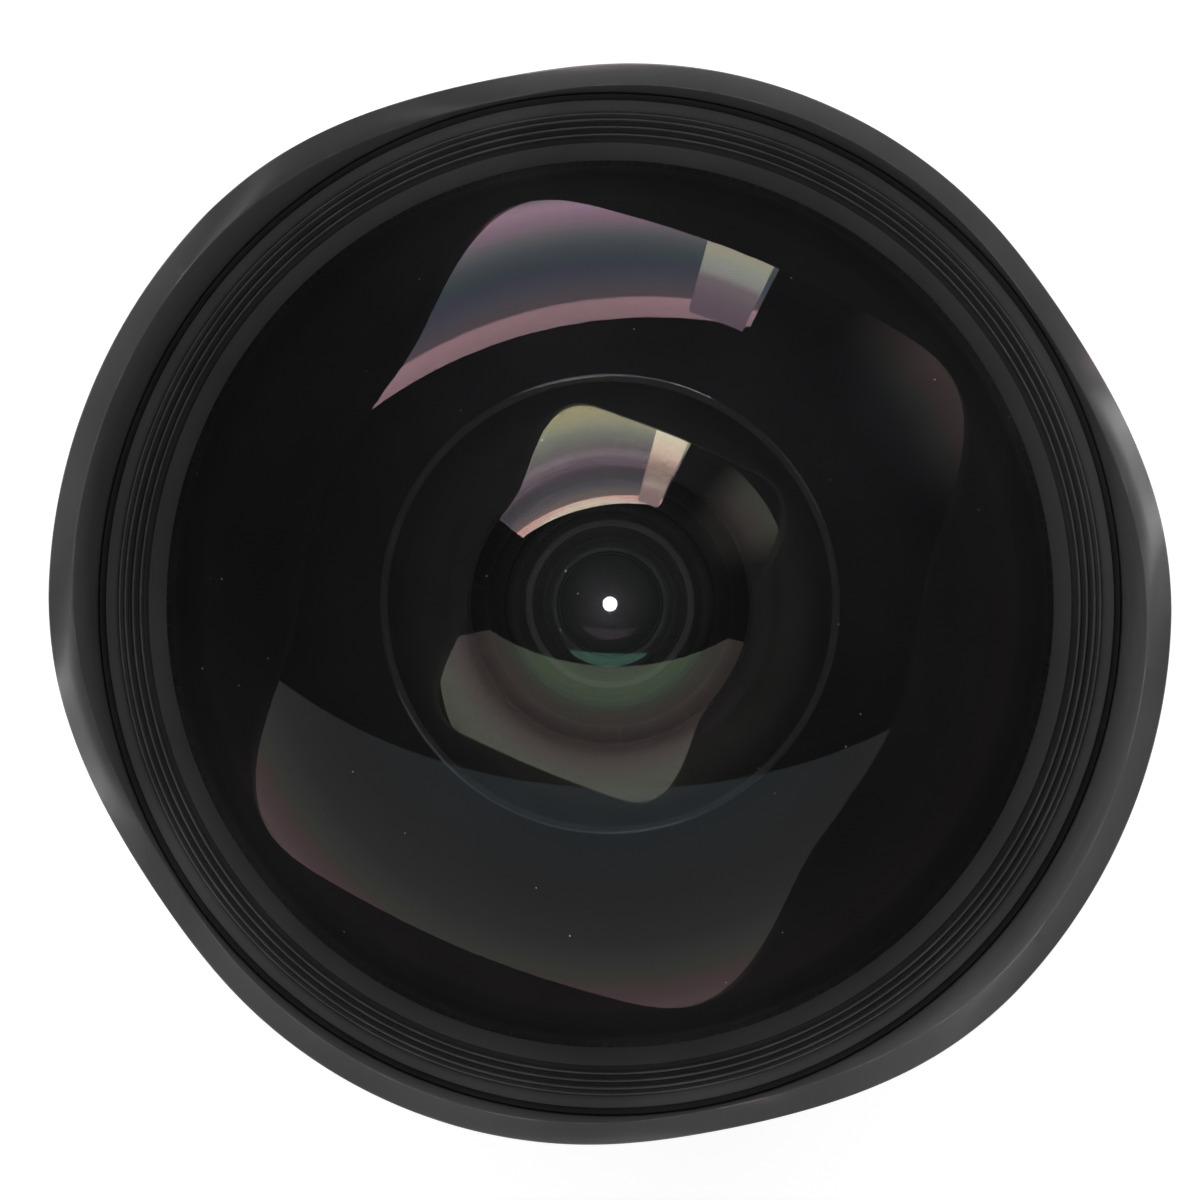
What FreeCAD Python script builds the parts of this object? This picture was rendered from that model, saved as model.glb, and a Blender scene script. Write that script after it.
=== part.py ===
"""Wide-angle prime lens, built as the separate pieces that it comes apart into.

Millimetres, +Z towards the subject, origin on the axis in the plane of the bayonet's contact face.
Glass heights run from the front down, so an element's rear vertex is lower than its front one.
"""
import FreeCAD
import Part
import os
from math import asin, cos, degrees, radians, sin, sqrt

V = FreeCAD.Vector
Z_AXIS = V(0, 0, 1)
ORIGIN = V(0, 0, 0)

# Clearances shared by every fit
RUNNING = 0.05          # radial play of a shaft, pin or ring that turns
SLIP = 0.1              # radial play of a long sleeve that turns or slides
SEAT = 0.02             # radial play of glass in its cell
SEAM = 0.4              # visible seam at the ends of the focus ring
FREE_GAP = 0.2          # room between pieces that pass without guiding each other
OVERSHOOT = 1.0         # how far a cutting shape runs past what it cuts

# Bayonet: the standard sizes that the camera's mount needs
MOUNT_R = 31.0
MOUNT_THICKNESS = 1.6
MOUNT_BORE_R = 19.5
SPIGOT_R = 21.9
SPIGOT_DEPTH = 4.0
FACE_RELIEF = 0.3
FACE_CHAMFER = 0.2
CLAW_REACH = 1.6
CLAW_TOP = 1.8
CLAW_THICKNESS = 1.5
CLAW_RECESS = 0.3
CLAWS = ((0.0, 62.0), (118.0, 52.0), (242.0, 52.0))   # centre and width, degrees
MOUNT_SCREW_COUNT = 4
MOUNT_SCREW_FIRST = 45.0
SCREW_HEAD_R = 1.55
SCREW_HEAD_HEIGHT = 0.8
SCREW_HEAD_SINK = 0.15
SCREW_SHANK_R = 0.85
SCREW_SLOT_LENGTH = 2.3
SCREW_SLOT_WIDTH = 0.45
SCREW_SLOT_DEPTH = 0.4
GASKET_STEP = 0.6
GASKET_LIP = 0.5

# Rear skirt, contact block and its wiring
SKIRT_WALL = 2.0
SKIRT_LENGTH = 7.5
SKIRT_FLANGE_WIDTH = 3.75
SKIRT_FLANGE_THICKNESS = 1.4
CONTACT_ANGLE = 270.0
CONTACT_SPAN = 48.0
CONTACT_SIDE_GAP = 1.5   # degrees
CONTACT_BLOCK_DEPTH = 5.5
CONTACT_BLOCK_WIDTH = 3.0
CONTACT_COUNT = 8
CONTACT_PAD_WIDTH = 1.1
CONTACT_PAD_LENGTH = 1.7
CONTACT_PAD_HEIGHT = 0.15
BOARD_THICKNESS = 1.2
BOARD_INNER_GAP = 2.65
BOARD_EDGE_GAP = 0.6
BOARD_START = 92.0
BOARD_SPAN = 256.0
CHIP_HEIGHT = 0.9
CHIP_INSET = 1.3
CHIPS = ((125.0, 16.0), (170.0, 22.0), (215.0, 12.0), (318.0, 14.0))
FLEX_WIDTH = 6.0
FLEX_THICKNESS = 0.15
FLEX_SIDE_GAP = 0.5
FLEX_REACH = 3.4

# Chassis: the guide barrel that everything is fixed to
CHASSIS_STEP = 0.4
CHASSIS_WALL = 1.5
CHASSIS_BASE_THICKNESS = 4.4
MOTOR_FLANGE_Z = 21.0
MOTOR_FLANGE_THICKNESS = 3.0
MOTOR_FLANGE_SEAT = 1.7
SHELF_THICKNESS = 1.5
SHELF_WIDTH = 2.4
FRONT_FLANGE_THICKNESS = 4.0
FRONT_FLANGE_STEP = 0.15

# Outer shells
REAR_BARREL_WALL = 1.95
REAR_BARREL_STEP = 2.4
REAR_TAPER_LENGTH = 14.0
BARREL_STEP = 0.6
CONTROL_WALL = 2.0
CONTROL_LENGTH = 23.8
CONTROL_WEB_THICKNESS = 1.4
BARREL_EDGE = 0.3        # small bevel on shell edges

# Distance window and the scale behind it
WINDOW_ANGLE = 270.0
WINDOW_SPAN = 34.0
WINDOW_LEDGE_SPAN = 3.0
WINDOW_RISE = 7.0
WINDOW_HEIGHT = 12.0
WINDOW_LEDGE = 1.0
WINDOW_PANE_THICKNESS = 0.9
WINDOW_PANE_SINK = 0.3
SCALE_INNER_GAP = 0.5
SCALE_OUTER_GAP = 0.4
SCALE_WALL = 0.5
SCALE_RISE = 6.0
SCALE_HEIGHT = 14.0
SCALE_HUB_WALL = 1.5
SCALE_HUB_HEIGHT = 3.4

# Focus mode switch on the side of the control barrel
SWITCH_RISE = 12.0
SWITCH_POCKET_DEPTH = 1.3
SWITCH_PLATE_SINK = 0.4
SWITCH_PLATE_THICKNESS = 0.35
SWITCH_PLATE_WIDTH = 11.0
SWITCH_PLATE_HEIGHT = 17.0
SWITCH_TRAVEL = 3.0
SWITCH_CAP_WIDTH = 4.2
SWITCH_CAP_HEIGHT = 5.0
SWITCH_CAP_RISE = 1.0
SWITCH_BASE_MARGIN = 1.7
SWITCH_BASE_OVERLAP = 2.0
SWITCH_PLAY = 0.1
SWITCH_RIDGES = 4
SWITCH_RIDGE_DEPTH = 0.25

# Ring motor and the roller drive that mixes it with the hand ring
SPRING_WASHER_HEIGHT = 1.0
STATOR_HEIGHT = 4.0
STATOR_TEETH = 36
STATOR_SLOT_WIDTH = 0.6
STATOR_SLOT_DEPTH = 1.6
ROTOR_HEIGHT = 3.95
MOTOR_GAP = 0.05
MOTOR_SIDE_GAP = 0.4
ROLLER_R = 2.4
ROLLER_LENGTH = 3.0
ROLLER_SIDE_GAP = 0.5
ROLLER_COUNT = 3
ROLLER_FIRST = 90.0
AXLE_R = 0.8
DRIVE_RING_WALL = 1.9
DRIVE_RING_FOOT_HEIGHT = 2.1

# Focus ring and its bearing
SLEEVE_WALL = 1.25
SLEEVE_FOOT_GAP = 0.9
CORE_STEP = 0.95
CORE_WALL = 1.45
CORE_WEB_THICKNESS = 1.4
CORE_RIM_HEIGHT = 0.7
CORE_RIM_LENGTH = 2.3
GRIP_THICKNESS = 1.3
GRIP_RIB_COUNT = 96
GRIP_GROOVE_WIDTH = 1.0
GRIP_GROOVE_DEPTH = 0.6
GRIP_LAND = 1.2          # unribbed band at each end of the rubber

# Cam barrel and focus carrier
CAM_BARREL_WALL = 1.5
CAM_BARREL_END_GAP = 4.0
FOLLOWER_R = 2.0
FOLLOWER_RISE = 5.8
FOLLOWER_COUNT = 3
FOLLOWER_FIRST = 30.0
FOLLOWER_TIP = 0.2
FOCUS_TRAVEL = 5.0
CAM_TURN = 60.0
CAM_SLOT_STEPS = 12
CARRIER_GAP = 1.82
CARRIER_WALL = 2.8
CARRIER_LENGTH = 13.8
CARRIER_HUB_WALL = 1.4
CARRIER_HUB_LENGTH = 13.0
CARRIER_WEB_THICKNESS = 2.4

# Diaphragm
BLADE_COUNT = 9
STOP_OPEN_R = 13.0
STOP_CLOSED_R = 1.565
BLADE_MARGIN = 0.1       # how far an open blade stays clear of the stop
BLADE_SPAN = 100.0
BLADE_PIVOT_MARGIN = 1.5
BLADE_LUG_MARGIN = 1.2
BLADE_LUG_BACK = 3.0
BLADE_LUG_SPAN = 18.0
BLADE_LINK_GAP = 0.8
BLADE_THICKNESS = 0.1
BLADE_PITCH = 0.16
BLADE_PIN_R = 0.6
DRIVE_PIN_ANGLE = 15.0
IRIS_BASE_THICKNESS = 1.0
IRIS_HOUSING_GAP = 1.1
IRIS_RIM_WALL = 3.2
IRIS_COVER_THICKNESS = 1.0
IRIS_RING_MARGIN = 1.0
IRIS_RING_THICKNESS = 1.2
IRIS_RING_TURN = 16.0
IRIS_AXIAL_PLAY = 0.15
IRIS_COVER_GAP = 0.6

# Aperture lever and its spring
LEVER_ANGLE = 52.0
LEVER_RING_WALL = 1.6
LEVER_RING_HEIGHT = 3.0
LEVER_RING_GAP = 0.25
LEVER_TAB_WALL = 1.2
LEVER_TAB_HALF_SPAN = 4.0
LEVER_TAB_ROOT = 1.5
LEVER_TAB_TIP = 0.5      # how far the tab stays inside the skirt's end
LEVER_SWEEP_GAP = 2.0    # degrees left free past each end of the sweep
LINK_WALL = 1.3
LINK_EDGE = 0.2
LINK_HALF_SPAN = 4.0
LINK_LUG_HEIGHT = 1.2
POST_R = 0.9
POST_ANGLE = 7.0
SPRING_STANDOFF = 2.75
SPRING_COIL_R = 1.0
SPRING_WIRE_R = 0.16
SPRING_TURNS = 12

# Rear cell
REAR_CELL_WALL = 2.0
REAR_CELL_START = 2.0
REAR_CELL_LENGTH = 45.0
REAR_CELL_FLANGE_THICKNESS = 3.0
REAR_CELL_COLLAR = 1.0
REAR_CELL_THROAT_STEP = 0.6

# Front group cells
INNER_CELL_WALL = 2.0
INNER_CELL_DEPTH = 13.4
INNER_CELL_FLANGE_THICKNESS = 2.0
INNER_CELL_NOSE = 1.5
CELL_LIP = 0.9           # how far a shoulder reaches over the glass it stops
CELL_END_GAP = 0.4
FRONT_CELL_SPIGOT_STEP = 0.4
FRONT_CELL_SPIGOT_LENGTH = 4.0
FRONT_CELL_POCKET_STEP = 1.2
FRONT_CELL_WEB_WIDTH = 6.3
FRONT_CELL_LEDGE_WIDTH = 1.1
FRONT_CELL_LEDGE_RISE = 2.15
INNER_CELL_SIDE_GAP = 0.4
BAFFLE_THICKNESS = 0.9
BAFFLE_GAP = 0.41

# Retaining ring round the front glass
RETAINER_WIDTH = 3.75
RETAINER_LIP = 0.3
RETAINER_FOOT = 0.15
RETAINER_HEIGHT = 2.45
RETAINER_CONE_WIDTH = 1.5
RETAINER_CONE_RISE = 1.35
RETAINER_GROOVE_WIDTH = 0.5
RETAINER_RIDGE_COUNT = 3
RETAINER_RIDGE_WIDTH = 0.15
RETAINER_RIDGE_FLANK = 0.15
RETAINER_RIDGE_RISE = 0.33
RETAINER_RIDGE_DEPTH = 0.5

# Front barrel and hood
FRONT_BARREL_LENGTH = 11.7
FRONT_BARREL_STRAIGHT = 2.2
FRONT_BARREL_INNER_GAP = 0.3
FRONT_BARREL_WEB_THICKNESS = 2.0
HOOD_GAP = 0.8
HOOD_WALL = 2.0
HOOD_LENGTH = 28.0       # base flange to the long petals' tips
HOOD_VALLEY_DROP = 15.7
HOOD_ARCH_RISE = 4.7     # middle of a short petal above the valleys
HOOD_BASE_THICKNESS = 2.0
HOOD_LIP = 1.0

# The hood's edge seen along X: share of the hood's radius from a short petal's middle, then
# share of the arch's rise up to the valley and share of the long petal's rise past it
PETAL_ARCH = ((0.0, 1.0), (0.18, 0.88), (0.38, 0.40), (0.56, 0.0))
PETAL_FLANK = ((0.68, 0.19), (0.795, 0.60), (0.885, 0.92), (0.955, 1.032))

# Front element: conic faces, the big glass bulb behind the hood
FRONT_RIM_R = 40.0
FRONT_RIM_RISE = 3.3
FRONT_HEIGHT = 23.2      # rim's rear face to the front vertex
FRONT_EDGE_LENGTH = 5.25
FRONT_RADIUS = 50.0
FRONT_CONIC = -0.4
FRONT_THICKNESS = 3.4
FRONT_REAR_RADIUS = 20.0
FRONT_REAR_CONIC = -1.4
FRONT_REAR_CLEAR_R = 18.94
FRONT_REAR_LAND = 2.5
CONIC_POINTS = 9


class Face:
    """One optical face of an inner element.

    The vertex is a height above the group's datum. A positive radius bulges to the front.
    """

    def __init__(self, vertex, radius, clear=None):
        self.vertex = vertex
        self.radius = radius
        self.clear = clear

    def height(self, r):
        r = min(r, self.clear) if self.clear else r
        sag = abs(self.radius) - sqrt(self.radius ** 2 - r ** 2)
        return self.vertex - sag if self.radius > 0 else self.vertex + sag


# The inner glass, front to rear: rim radius and faces of each element or cemented pair
INNER_GLASS = {
    "element_2": (17.0, (Face(8.0, 26.0), Face(5.6, 15.0, 12.0))),
    "element_3": (14.0, (Face(-2.8, -60.0), Face(-4.6, 24.0, 12.6))),
    "elements_4_5": (12.5, (Face(-5.6, 22.0), Face(-9.6, 60.0), Face(-12.0, 90.0))),
}
FOCUS_GLASS = {
    "element_6": (12.0, (Face(12.4, 28.0), Face(9.4, 60.0))),
    "elements_7_8": (11.5, (Face(7.8, 50.0), Face(4.8, 35.0), Face(1.4, 80.0))),
}
REAR_GLASS = {
    "elements_9_10": (13.3, (Face(-3.4, 36.0), Face(-6.8, 70.0), Face(-9.8, -80.0))),
    "elements_11_12": (13.8, (Face(-11.0, -45.0), Face(-13.4, 40.0), Face(-17.2, 120.0))),
    "elements_13_14": (14.6, (Face(-18.4, 50.0), Face(-23.2, -60.0), Face(-25.4, -90.0))),
    "element_15": (15.6, (Face(-27.4, -60.0), Face(-31.5, 150.0))),
    "element_16": (16.6, (Face(-36.0, -45.0), Face(-43.8, -60.0))),
}

# Radii from the bayonet outwards
CLAW_R = SPIGOT_R + CLAW_REACH
FACE_INNER_R = CLAW_R + CLAW_RECESS
MOUNT_SCREW_CIRCLE_R = (FACE_INNER_R + MOUNT_R) / 2
SKIRT_R = MOUNT_BORE_R - FREE_GAP
SKIRT_INNER_R = SKIRT_R - SKIRT_WALL
SKIRT_FLANGE_R = SKIRT_R + SKIRT_FLANGE_WIDTH
CONTACT_BLOCK_INNER_R = SKIRT_R - CONTACT_BLOCK_WIDTH
CHASSIS_R = MOUNT_R + CHASSIS_STEP
CHASSIS_BORE = CHASSIS_R - CHASSIS_WALL
SHELF_R = CHASSIS_BORE - SHELF_WIDTH
REAR_BARREL_BORE = CHASSIS_R + RUNNING
REAR_BARREL_R = REAR_BARREL_BORE + REAR_BARREL_WALL
GASKET_R = REAR_BARREL_R - GASKET_STEP
CAM_BARREL_INNER_R = CHASSIS_R + SLIP
CAM_BARREL_R = CAM_BARREL_INNER_R + CAM_BARREL_WALL
FOLLOWER_TIP_R = CAM_BARREL_R + FOLLOWER_TIP
ROLLER_INNER_R = CAM_BARREL_R + ROLLER_SIDE_GAP
ROLLER_OUTER_R = ROLLER_INNER_R + ROLLER_LENGTH
MOTOR_OUTER_R = ROLLER_OUTER_R - SLIP
DRIVE_RING_BORE = MOTOR_OUTER_R - SLIP
DRIVE_RING_R = DRIVE_RING_BORE + DRIVE_RING_WALL
SCALE_R = DRIVE_RING_R + SCALE_INNER_GAP + SCALE_WALL
AXLE_END_R = SCALE_R - SCALE_WALL
CONTROL_BORE = SCALE_R + SCALE_OUTER_GAP
CONTROL_R = CONTROL_BORE + CONTROL_WALL
CONTROL_WEB_R = MOTOR_OUTER_R + MOTOR_SIDE_GAP
MOTOR_FLANGE_R = CONTROL_WEB_R + MOTOR_FLANGE_SEAT
BARREL_R = CONTROL_R - BARREL_STEP
CORE_BORE_R = CONTROL_BORE + CORE_STEP
CORE_R = CORE_BORE_R + CORE_WALL
CORE_RIM_R = CORE_R + CORE_RIM_HEIGHT
GRIP_R = CORE_R + GRIP_THICKNESS
SLEEVE_R = CORE_BORE_R - SLIP
FRONT_FLANGE_R = SLEEVE_R + FRONT_FLANGE_STEP
FRONT_BARREL_BORE_R = FRONT_FLANGE_R + FRONT_BARREL_INNER_GAP

# Radii of the front glass and what goes round it
RETAINER_R = FRONT_RIM_R + RETAINER_WIDTH
RETAINER_LIP_R = FRONT_RIM_R - RETAINER_LIP
FRONT_CELL_R = RETAINER_R + RUNNING + FRONT_CELL_LEDGE_WIDTH
FRONT_CELL_SPIGOT_R = FRONT_RIM_R + FRONT_CELL_SPIGOT_STEP
FRONT_REAR_SHOULDER_R = FRONT_RIM_R - FRONT_REAR_LAND
FRONT_CELL_POCKET_R = FRONT_REAR_SHOULDER_R - FRONT_CELL_POCKET_STEP
FRONT_CELL_BORE_R = FRONT_CELL_POCKET_R - FRONT_CELL_WEB_WIDTH
INNER_CELL_FLANGE_R = FRONT_CELL_POCKET_R - INNER_CELL_SIDE_GAP
HOOD_INNER_R = FRONT_CELL_R + HOOD_GAP
HOOD_R = HOOD_INNER_R + HOOD_WALL
HOOD_BASE_R = FRONT_CELL_SPIGOT_R + SLIP

# Radii inside the chassis
REAR_CELL_R = REAR_GLASS["element_16"][0] + REAR_CELL_WALL
REAR_CELL_THROAT_R = REAR_GLASS["elements_9_10"][0] - REAR_CELL_THROAT_STEP
INNER_CELL_R = INNER_GLASS["element_2"][0] + INNER_CELL_WALL
CARRIER_R = CHASSIS_BORE - SLIP
LEVER_RING_INNER_R = REAR_CELL_R + RUNNING
LEVER_RING_R = LEVER_RING_INNER_R + LEVER_RING_WALL
LEVER_TAB_R = SKIRT_INNER_R
CHASSIS_BASE_BORE_R = LEVER_RING_R + LEVER_RING_GAP
BOARD_INNER_R = LEVER_RING_R + BOARD_INNER_GAP
SPRING_ANCHOR_R = LEVER_RING_R + SPRING_STANDOFF
IRIS_HOUSING_R = CHASSIS_BORE - IRIS_HOUSING_GAP
IRIS_RING_R = IRIS_HOUSING_R - IRIS_RIM_WALL - SLIP
IRIS_RING_INNER_R = STOP_OPEN_R + IRIS_RING_MARGIN
LINK_R = IRIS_RING_R - LINK_EDGE
LINK_INNER_R = LINK_R - LINK_WALL
BLADE_LUG_R = LINK_INNER_R - BLADE_LINK_GAP
BLADE_PIVOT_R = BLADE_LUG_R - BLADE_LUG_MARGIN
BLADE_INNER_R = STOP_OPEN_R + BLADE_MARGIN
BLADE_OUTER_R = BLADE_PIVOT_R - BLADE_PIVOT_MARGIN
BLADE_CLOSING = 2 * degrees(asin((BLADE_INNER_R - STOP_CLOSED_R) / (2 * BLADE_PIVOT_R)))

# Switch sizes that follow from the barrel and the cap
SWITCH_FLOOR_X = CONTROL_R - SWITCH_POCKET_DEPTH
SWITCH_PLATE_X = CONTROL_R - SWITCH_PLATE_SINK
SWITCH_BASE_WIDTH = SWITCH_CAP_WIDTH + 2 * SWITCH_BASE_MARGIN
SWITCH_BASE_HEIGHT = SWITCH_CAP_HEIGHT + 2 * SWITCH_BASE_OVERLAP

# Heights of the rear end, the motor and the control barrel
SKIRT_TOP = MOUNT_THICKNESS + SKIRT_FLANGE_THICKNESS
BASE_TOP = MOUNT_THICKNESS + CHASSIS_BASE_THICKNESS
SCREW_SHANK_LENGTH = BASE_TOP - SCREW_HEAD_SINK - SCREW_HEAD_HEIGHT
LEVER_RING_Z = BASE_TOP + FREE_GAP
LEVER_RING_TOP = LEVER_RING_Z + LEVER_RING_HEIGHT
MOTOR_SEAT = MOTOR_FLANGE_Z + MOTOR_FLANGE_THICKNESS
STATOR_Z = MOTOR_SEAT + SPRING_WASHER_HEIGHT
ROTOR_Z = STATOR_Z + STATOR_HEIGHT + MOTOR_GAP
ROTOR_TOP = ROTOR_Z + ROTOR_HEIGHT
ROLLER_Z = ROTOR_TOP + MOTOR_GAP + ROLLER_R
DRIVE_RING_Z = ROLLER_Z + ROLLER_R + MOTOR_GAP
CAM_BARREL_Z = ROTOR_TOP + FREE_GAP
WINDOW_Z = MOTOR_SEAT + WINDOW_RISE
SCALE_Z = MOTOR_SEAT + SCALE_RISE
SWITCH_Z = MOTOR_SEAT + SWITCH_RISE
CONTROL_TOP = MOTOR_SEAT + CONTROL_LENGTH
CORE_Z = CONTROL_TOP + SEAM
SLEEVE_Z = CORE_Z + CORE_WEB_THICKNESS + SLEEVE_FOOT_GAP

# Heights of the rear cell, the diaphragm and the focus group
REAR_CELL_Z = BASE_TOP + REAR_CELL_START
IRIS_Z = REAR_CELL_Z + REAR_CELL_LENGTH
REAR_CELL_SEAT = IRIS_Z - REAR_CELL_FLANGE_THICKNESS
SHELF_Z = REAR_CELL_SEAT - SHELF_THICKNESS
BLADE_Z = IRIS_Z + IRIS_BASE_THICKNESS + RUNNING
BLADE_STACK = BLADE_PITCH * (BLADE_COUNT - 1) + BLADE_THICKNESS
IRIS_RING_Z = BLADE_Z + BLADE_STACK + IRIS_AXIAL_PLAY
IRIS_RING_TOP = IRIS_RING_Z + IRIS_RING_THICKNESS
IRIS_COVER_Z = IRIS_RING_TOP + IRIS_COVER_GAP
PIN_TOP = IRIS_RING_TOP + IRIS_COVER_GAP / 3
CARRIER_Z = IRIS_COVER_Z + IRIS_COVER_THICKNESS + CARRIER_GAP
FOLLOWER_Z = CARRIER_Z + FOLLOWER_RISE
INNER_CELL_Z = CARRIER_Z + CARRIER_HUB_LENGTH + FOCUS_TRAVEL + CELL_END_GAP

# Heights of the front
CHASSIS_TOP = INNER_CELL_Z + INNER_CELL_DEPTH
FRONT_FLANGE_Z = CHASSIS_TOP - FRONT_FLANGE_THICKNESS
CAM_BARREL_TOP = FRONT_FLANGE_Z - CAM_BARREL_END_GAP
FRONT_CELL_Z = CHASSIS_TOP + INNER_CELL_FLANGE_THICKNESS
HOOD_BASE_TOP = FRONT_CELL_Z + FRONT_CELL_SPIGOT_LENGTH
FRONT_BARREL_TOP = HOOD_BASE_TOP - HOOD_BASE_THICKNESS
FRONT_BARREL_Z = FRONT_BARREL_TOP - FRONT_BARREL_LENGTH
CORE_TOP = FRONT_BARREL_Z - SEAM
FRONT_RIM_Z = HOOD_BASE_TOP + FRONT_RIM_RISE
FRONT_VERTEX_Z = FRONT_RIM_Z + FRONT_HEIGHT
RETAINER_SEAT = FRONT_RIM_Z + FRONT_EDGE_LENGTH
FRONT_CELL_LEDGE_Z = RETAINER_SEAT + FRONT_CELL_LEDGE_RISE
HOOD_TIP_Z = HOOD_BASE_TOP + HOOD_LENGTH
HOOD_VALLEY_Z = HOOD_TIP_Z - HOOD_VALLEY_DROP

# Datum heights of the glass groups
GLASS = {
    **{name: (CHASSIS_TOP, *group) for name, group in INNER_GLASS.items()},
    **{name: (CARRIER_Z, *group) for name, group in FOCUS_GLASS.items()},
    **{name: (IRIS_Z, *group) for name, group in REAR_GLASS.items()},
}


def ring(inner, outer, low, high):
    """A plain ring, or a disc where the inner radius is 0."""
    solid = Part.makeCylinder(outer, high - low, V(0, 0, low))
    if inner > 0:
        solid = solid.cut(Part.makeCylinder(inner, high - low, V(0, 0, low)))
    return solid


def lathe(points):
    """Turn a closed outline of (radius, height) points about the axis."""
    corners = [V(r, 0, z) for r, z in points]
    face = Part.Face(Part.makePolygon(corners + corners[:1]))
    return face.revolve(ORIGIN, Z_AXIS, 360)


def sector(inner, outer, low, high, centre, span):
    """A piece of a ring, centred on an angle in degrees."""
    corners = [V(inner, 0, low), V(outer, 0, low), V(outer, 0, high), V(inner, 0, high)]
    face = Part.Face(Part.makePolygon(corners + corners[:1]))
    return turned(face.revolve(ORIGIN, Z_AXIS, span), centre - span / 2)


def turned(shape, angle, about=ORIGIN):
    """A copy turned about an upright line."""
    copy = shape.copy()
    copy.rotate(about, Z_AXIS, angle)
    return copy


def around(shape, count, first=0.0):
    """Copies evenly round the axis."""
    return [turned(shape, first + 360.0 * i / count) for i in range(count)]


def radial_pin(radius, inner, outer, height):
    """A round pin that points along +X."""
    return Part.makeCylinder(radius, outer - inner, V(inner, 0, height), V(1, 0, 0))


def block(x0, x1, width, low, high):
    """A box from x0 to x1, centred on y = 0."""
    return Part.makeBox(x1 - x0, width, high - low, V(x0, -width / 2, low))


def polar(radius, angle, height=0.0):
    """A point at a radius, an angle in degrees and a height."""
    return V(radius * cos(radians(angle)), radius * sin(radians(angle)), height)


def join(first, others):
    """One solid out of several, without the seams between flush faces."""
    return first.fuse(others).removeSplitter()


def conic_height(r, vertex, radius, conic):
    """Height of a conic face that bulges to the front."""
    c = 1 / radius
    return vertex - c * r * r / (1 + sqrt(1 - (1 + conic) * c * c * r * r))


def conic_edge(vertex, radius, conic, clear):
    """The outline of a conic face, from the axis to its clear radius."""
    steps = [clear * i / (CONIC_POINTS - 1) for i in range(CONIC_POINTS)]
    curve = Part.BSplineCurve()
    curve.interpolate(
        Points=[V(r, 0, conic_height(r, vertex, radius, conic)) for r in steps],
        InitialTangent=V(1, 0, 0),
        FinalTangent=V(1, 0, conic_slope(clear, radius, conic)),
    )
    return curve.toShape()


def conic_slope(r, radius, conic):
    """Slope of a conic face at a radius."""
    c = 1 / radius
    return -c * r / sqrt(1 - (1 + conic) * c * c * r * r)


def line(a, b):
    """A straight edge in the XZ plane."""
    return Part.LineSegment(V(a[0], 0, a[1]), V(b[0], 0, b[1])).toShape()


def face_edges(face, datum, rim_r):
    """A spherical face from the axis to the rim, with a flat land past its clear radius."""
    clear = face.clear or rim_r
    points = [V(r, 0, datum + face.height(r)) for r in (0, clear / 2, clear)]
    edges = [Part.Arc(*points).toShape()]
    if clear < rim_r:
        land = datum + face.height(rim_r)
        edges.append(line((clear, land), (rim_r, land)))
    return edges


def glass(front, rear, datum, rim_r):
    """One element between two faces."""
    edges = face_edges(front, datum, rim_r)
    edges.append(line((rim_r, datum + front.height(rim_r)), (rim_r, datum + rear.height(rim_r))))
    edges += face_edges(rear, datum, rim_r)
    edges.append(line((0, datum + rear.vertex), (0, datum + front.vertex)))
    wire = Part.Wire(Part.__sortEdges__(edges))
    return Part.Face(wire).revolve(ORIGIN, Z_AXIS, 360)


def glass_group(name):
    """An element, or a cemented pair as two solids that share a face."""
    datum, rim_r, faces = GLASS[name]
    return Part.makeCompound([glass(a, b, datum, rim_r) for a, b in zip(faces, faces[1:])])


def rim(name):
    """Rim radius of an element or pair."""
    return GLASS[name][1]


def seat_front(name, bore):
    """Height of a shoulder with this bore that stops a group in front, at its bulge or its rim."""
    datum, rim_r, faces = GLASS[name]
    return datum + max(faces[0].height(bore), faces[0].height(rim_r))


def seat_rear(name):
    """Height of a group's rear rim, where a shoulder behind it stops it."""
    datum, rim_r, faces = GLASS[name]
    return datum + faces[-1].height(rim_r)


def front_element():
    """The bulging front glass with its blackened rear cone."""
    rim_front = conic_height(FRONT_RIM_R, FRONT_VERTEX_Z, FRONT_RADIUS, FRONT_CONIC)
    edges = [
        conic_edge(FRONT_VERTEX_Z, FRONT_RADIUS, FRONT_CONIC, FRONT_RIM_R),
        line((FRONT_RIM_R, rim_front), (FRONT_RIM_R, FRONT_RIM_Z)),
        line((FRONT_RIM_R, FRONT_RIM_Z), (FRONT_REAR_SHOULDER_R, FRONT_RIM_Z)),
        line((FRONT_REAR_SHOULDER_R, FRONT_RIM_Z), (FRONT_REAR_CLEAR_R, front_rear_rim())),
        conic_edge(
            FRONT_VERTEX_Z - FRONT_THICKNESS, FRONT_REAR_RADIUS, FRONT_REAR_CONIC, FRONT_REAR_CLEAR_R
        ),
        line((0, FRONT_VERTEX_Z - FRONT_THICKNESS), (0, FRONT_VERTEX_Z)),
    ]
    wire = Part.Wire(Part.__sortEdges__(edges))
    return Part.Face(wire).revolve(ORIGIN, Z_AXIS, 360)


def front_rear_rim():
    """Height where the front element's concave face meets its blackened cone."""
    vertex = FRONT_VERTEX_Z - FRONT_THICKNESS
    return conic_height(FRONT_REAR_CLEAR_R, vertex, FRONT_REAR_RADIUS, FRONT_REAR_CONIC)


# Bayonet and rear end

def mount_screw_places(shape):
    """A copy of a shape at every mount screw."""
    return around(shape, MOUNT_SCREW_COUNT, MOUNT_SCREW_FIRST)


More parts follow.
